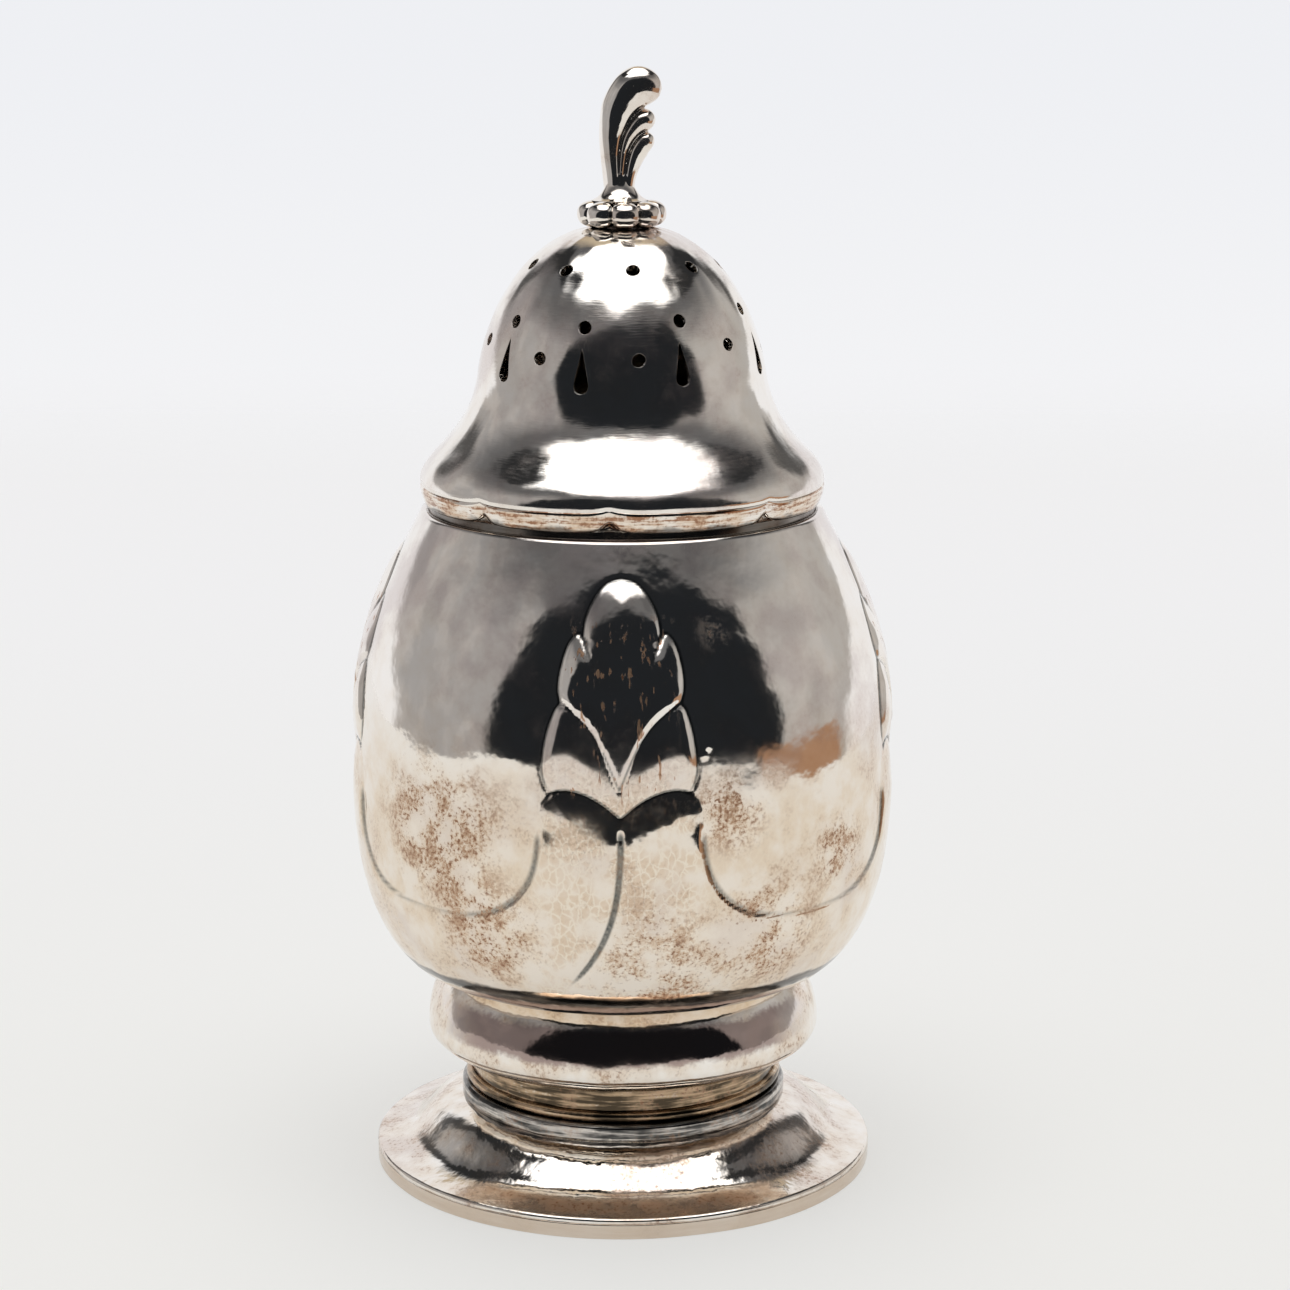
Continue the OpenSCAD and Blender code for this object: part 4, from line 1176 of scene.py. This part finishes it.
above = w.math("MAXIMUM", height, 0.0)
arch = abs((bearing - ARCH_MIDDLE) / (ARCH_HALF_W - ARCH_TAPER * above)) ** 2.4 + (above / ARCH_TOP) ** 4
in_arch = 1 - w.step(arch, 0.90, 1.10)
in_front = 1 - w.step(aside, 38, 43)
clouded = w.step(w.noise(way, 3.2, 3, 0.55), 0.44, 0.64) * 0.45
card_top = w.step(height, 22, 44)
box_edge = 52 + 7.5 * w.step(aside, 76, 108) + 4 * w.step(aside, 150, 165)
in_box = w.step(height - box_edge, -3.5, 3.5)
gap_level = 73 - 0.2 * aside - 3 * right
gap_fade = w.step(aside, 72, 86) * (1 - w.step(aside, 142, 160))
in_gap = (1 - w.step(abs(height - gap_level), 4, 7)) * gap_fade
sweep_edge = 112 + 33 * w.step(height, -6, 16)
in_sweep = w.step(aside - sweep_edge, -4, 4) * (1 - w.step(height - gap_level, -2, 2))
edge_line = (1 - w.step(abs(aside - sweep_edge + 5), 3, 12)) * w.near(height, 15, 50, 4) * 0.85
in_back = w.step(aside, 148, 162) * w.step(height, 35, 42)
in_brown = w.near(bearing, 60, 106, 2) * w.near(height, -40, -6.5, 1)

room = w.mix(right, CARD_LEFT, CARD_RIGHT)
for share, colour in ((clouded, CLOUD), (card_top, CARD_TOP), (in_front, FRONT), (in_arch, DARK),
                      (in_brown, BROWN_CARD), (in_sweep, SWEEP), (in_back, GOLD_CARD), (in_box, SOFT_BOX),
                      (in_gap, GAP), (edge_line, GAP)):
    room = w.mix(share, room, colour)
seen = w.node("ShaderNodeLightPath", out=0)
shown = w.mix(seen, room, w.mix(w.step(height, -8, -1), SWEEP, SWEEP_HIGH))
light = w.node("ShaderNodeBackground", {}, {"Color": shown, "Strength": 1.0})
w.node("ShaderNodeOutputWorld", {}, {"Surface": light})
print("world of", len(scene.world.node_tree.nodes), "nodes")

# %% [markdown]
# The floor is a real surface, so it takes the caster's shadow and shows in the silver. The table in the
# photograph ends about 40 cm in front, which the lower body shows as the line between cream and dark. The
# floor fades out at its edges, where the world behind it has the same colour. Seen directly or in the
# silver, half of its brightness is its own pale colour and half is the light that falls on it, so it stays
# pale and still takes the shadow.

# %% Floor
FLOOR_LEFT, FLOOR_RIGHT, FLOOR_FRONT, FLOOR_BACK, FADE, FADE_BACK = -470, 320, -400, 650, 40, 350
FLOOR_NEAR, FLOOR_FAR, NO_LIGHT = (0.93, 0.93, 0.91, 1), (0.96, 0.96, 0.97, 1), (0, 0, 0, 1)
SHOWN_WHITE = 0.5
low_x, high_x = FLOOR_LEFT - FADE, FLOOR_RIGHT + FADE
low_y, high_y = FLOOR_FRONT - FADE, FLOOR_BACK + FADE_BACK
floor = make_mesh("floor", [(low_x, low_y, 0), (high_x, low_y, 0), (high_x, high_y, 0), (low_x, high_y, 0)],
                  [np.array([(0, 1, 2, 3)])])
floor_finish, f = new_material("floor_pale")
floor_x, floor_y, _ = f.split(f.millimetres())
faded = f.step(floor_x, low_x, FLOOR_LEFT) * (1 - f.step(floor_x, FLOOR_RIGHT, high_x))
faded = faded * f.step(floor_y, low_y, FLOOR_FRONT) * (1 - f.step(floor_y, FLOOR_BACK, high_y))
looked_at = f.math("MAXIMUM", f.node("ShaderNodeLightPath", out=0), f.node("ShaderNodeLightPath", out=3))
own_light = looked_at * SHOWN_WHITE
floor_colour = f.mix(f.step(floor_y, -80, 500), FLOOR_NEAR, FLOOR_FAR)
floor_surface = f.node("ShaderNodeBsdfPrincipled", {}, {
    "Base Color": f.mix(own_light, floor_colour, NO_LIGHT), "Roughness": 0.9, "Specular IOR Level": 0.1,
    "Emission Color": f.mix(own_light, NO_LIGHT, floor_colour), "Emission Strength": 1.0, "Alpha": faded})
f.node("ShaderNodeOutputMaterial", {}, {"Surface": floor_surface})
floor.data.materials.append(floor_finish)
scene.view_settings.view_transform = "Standard"
print("studio ready")
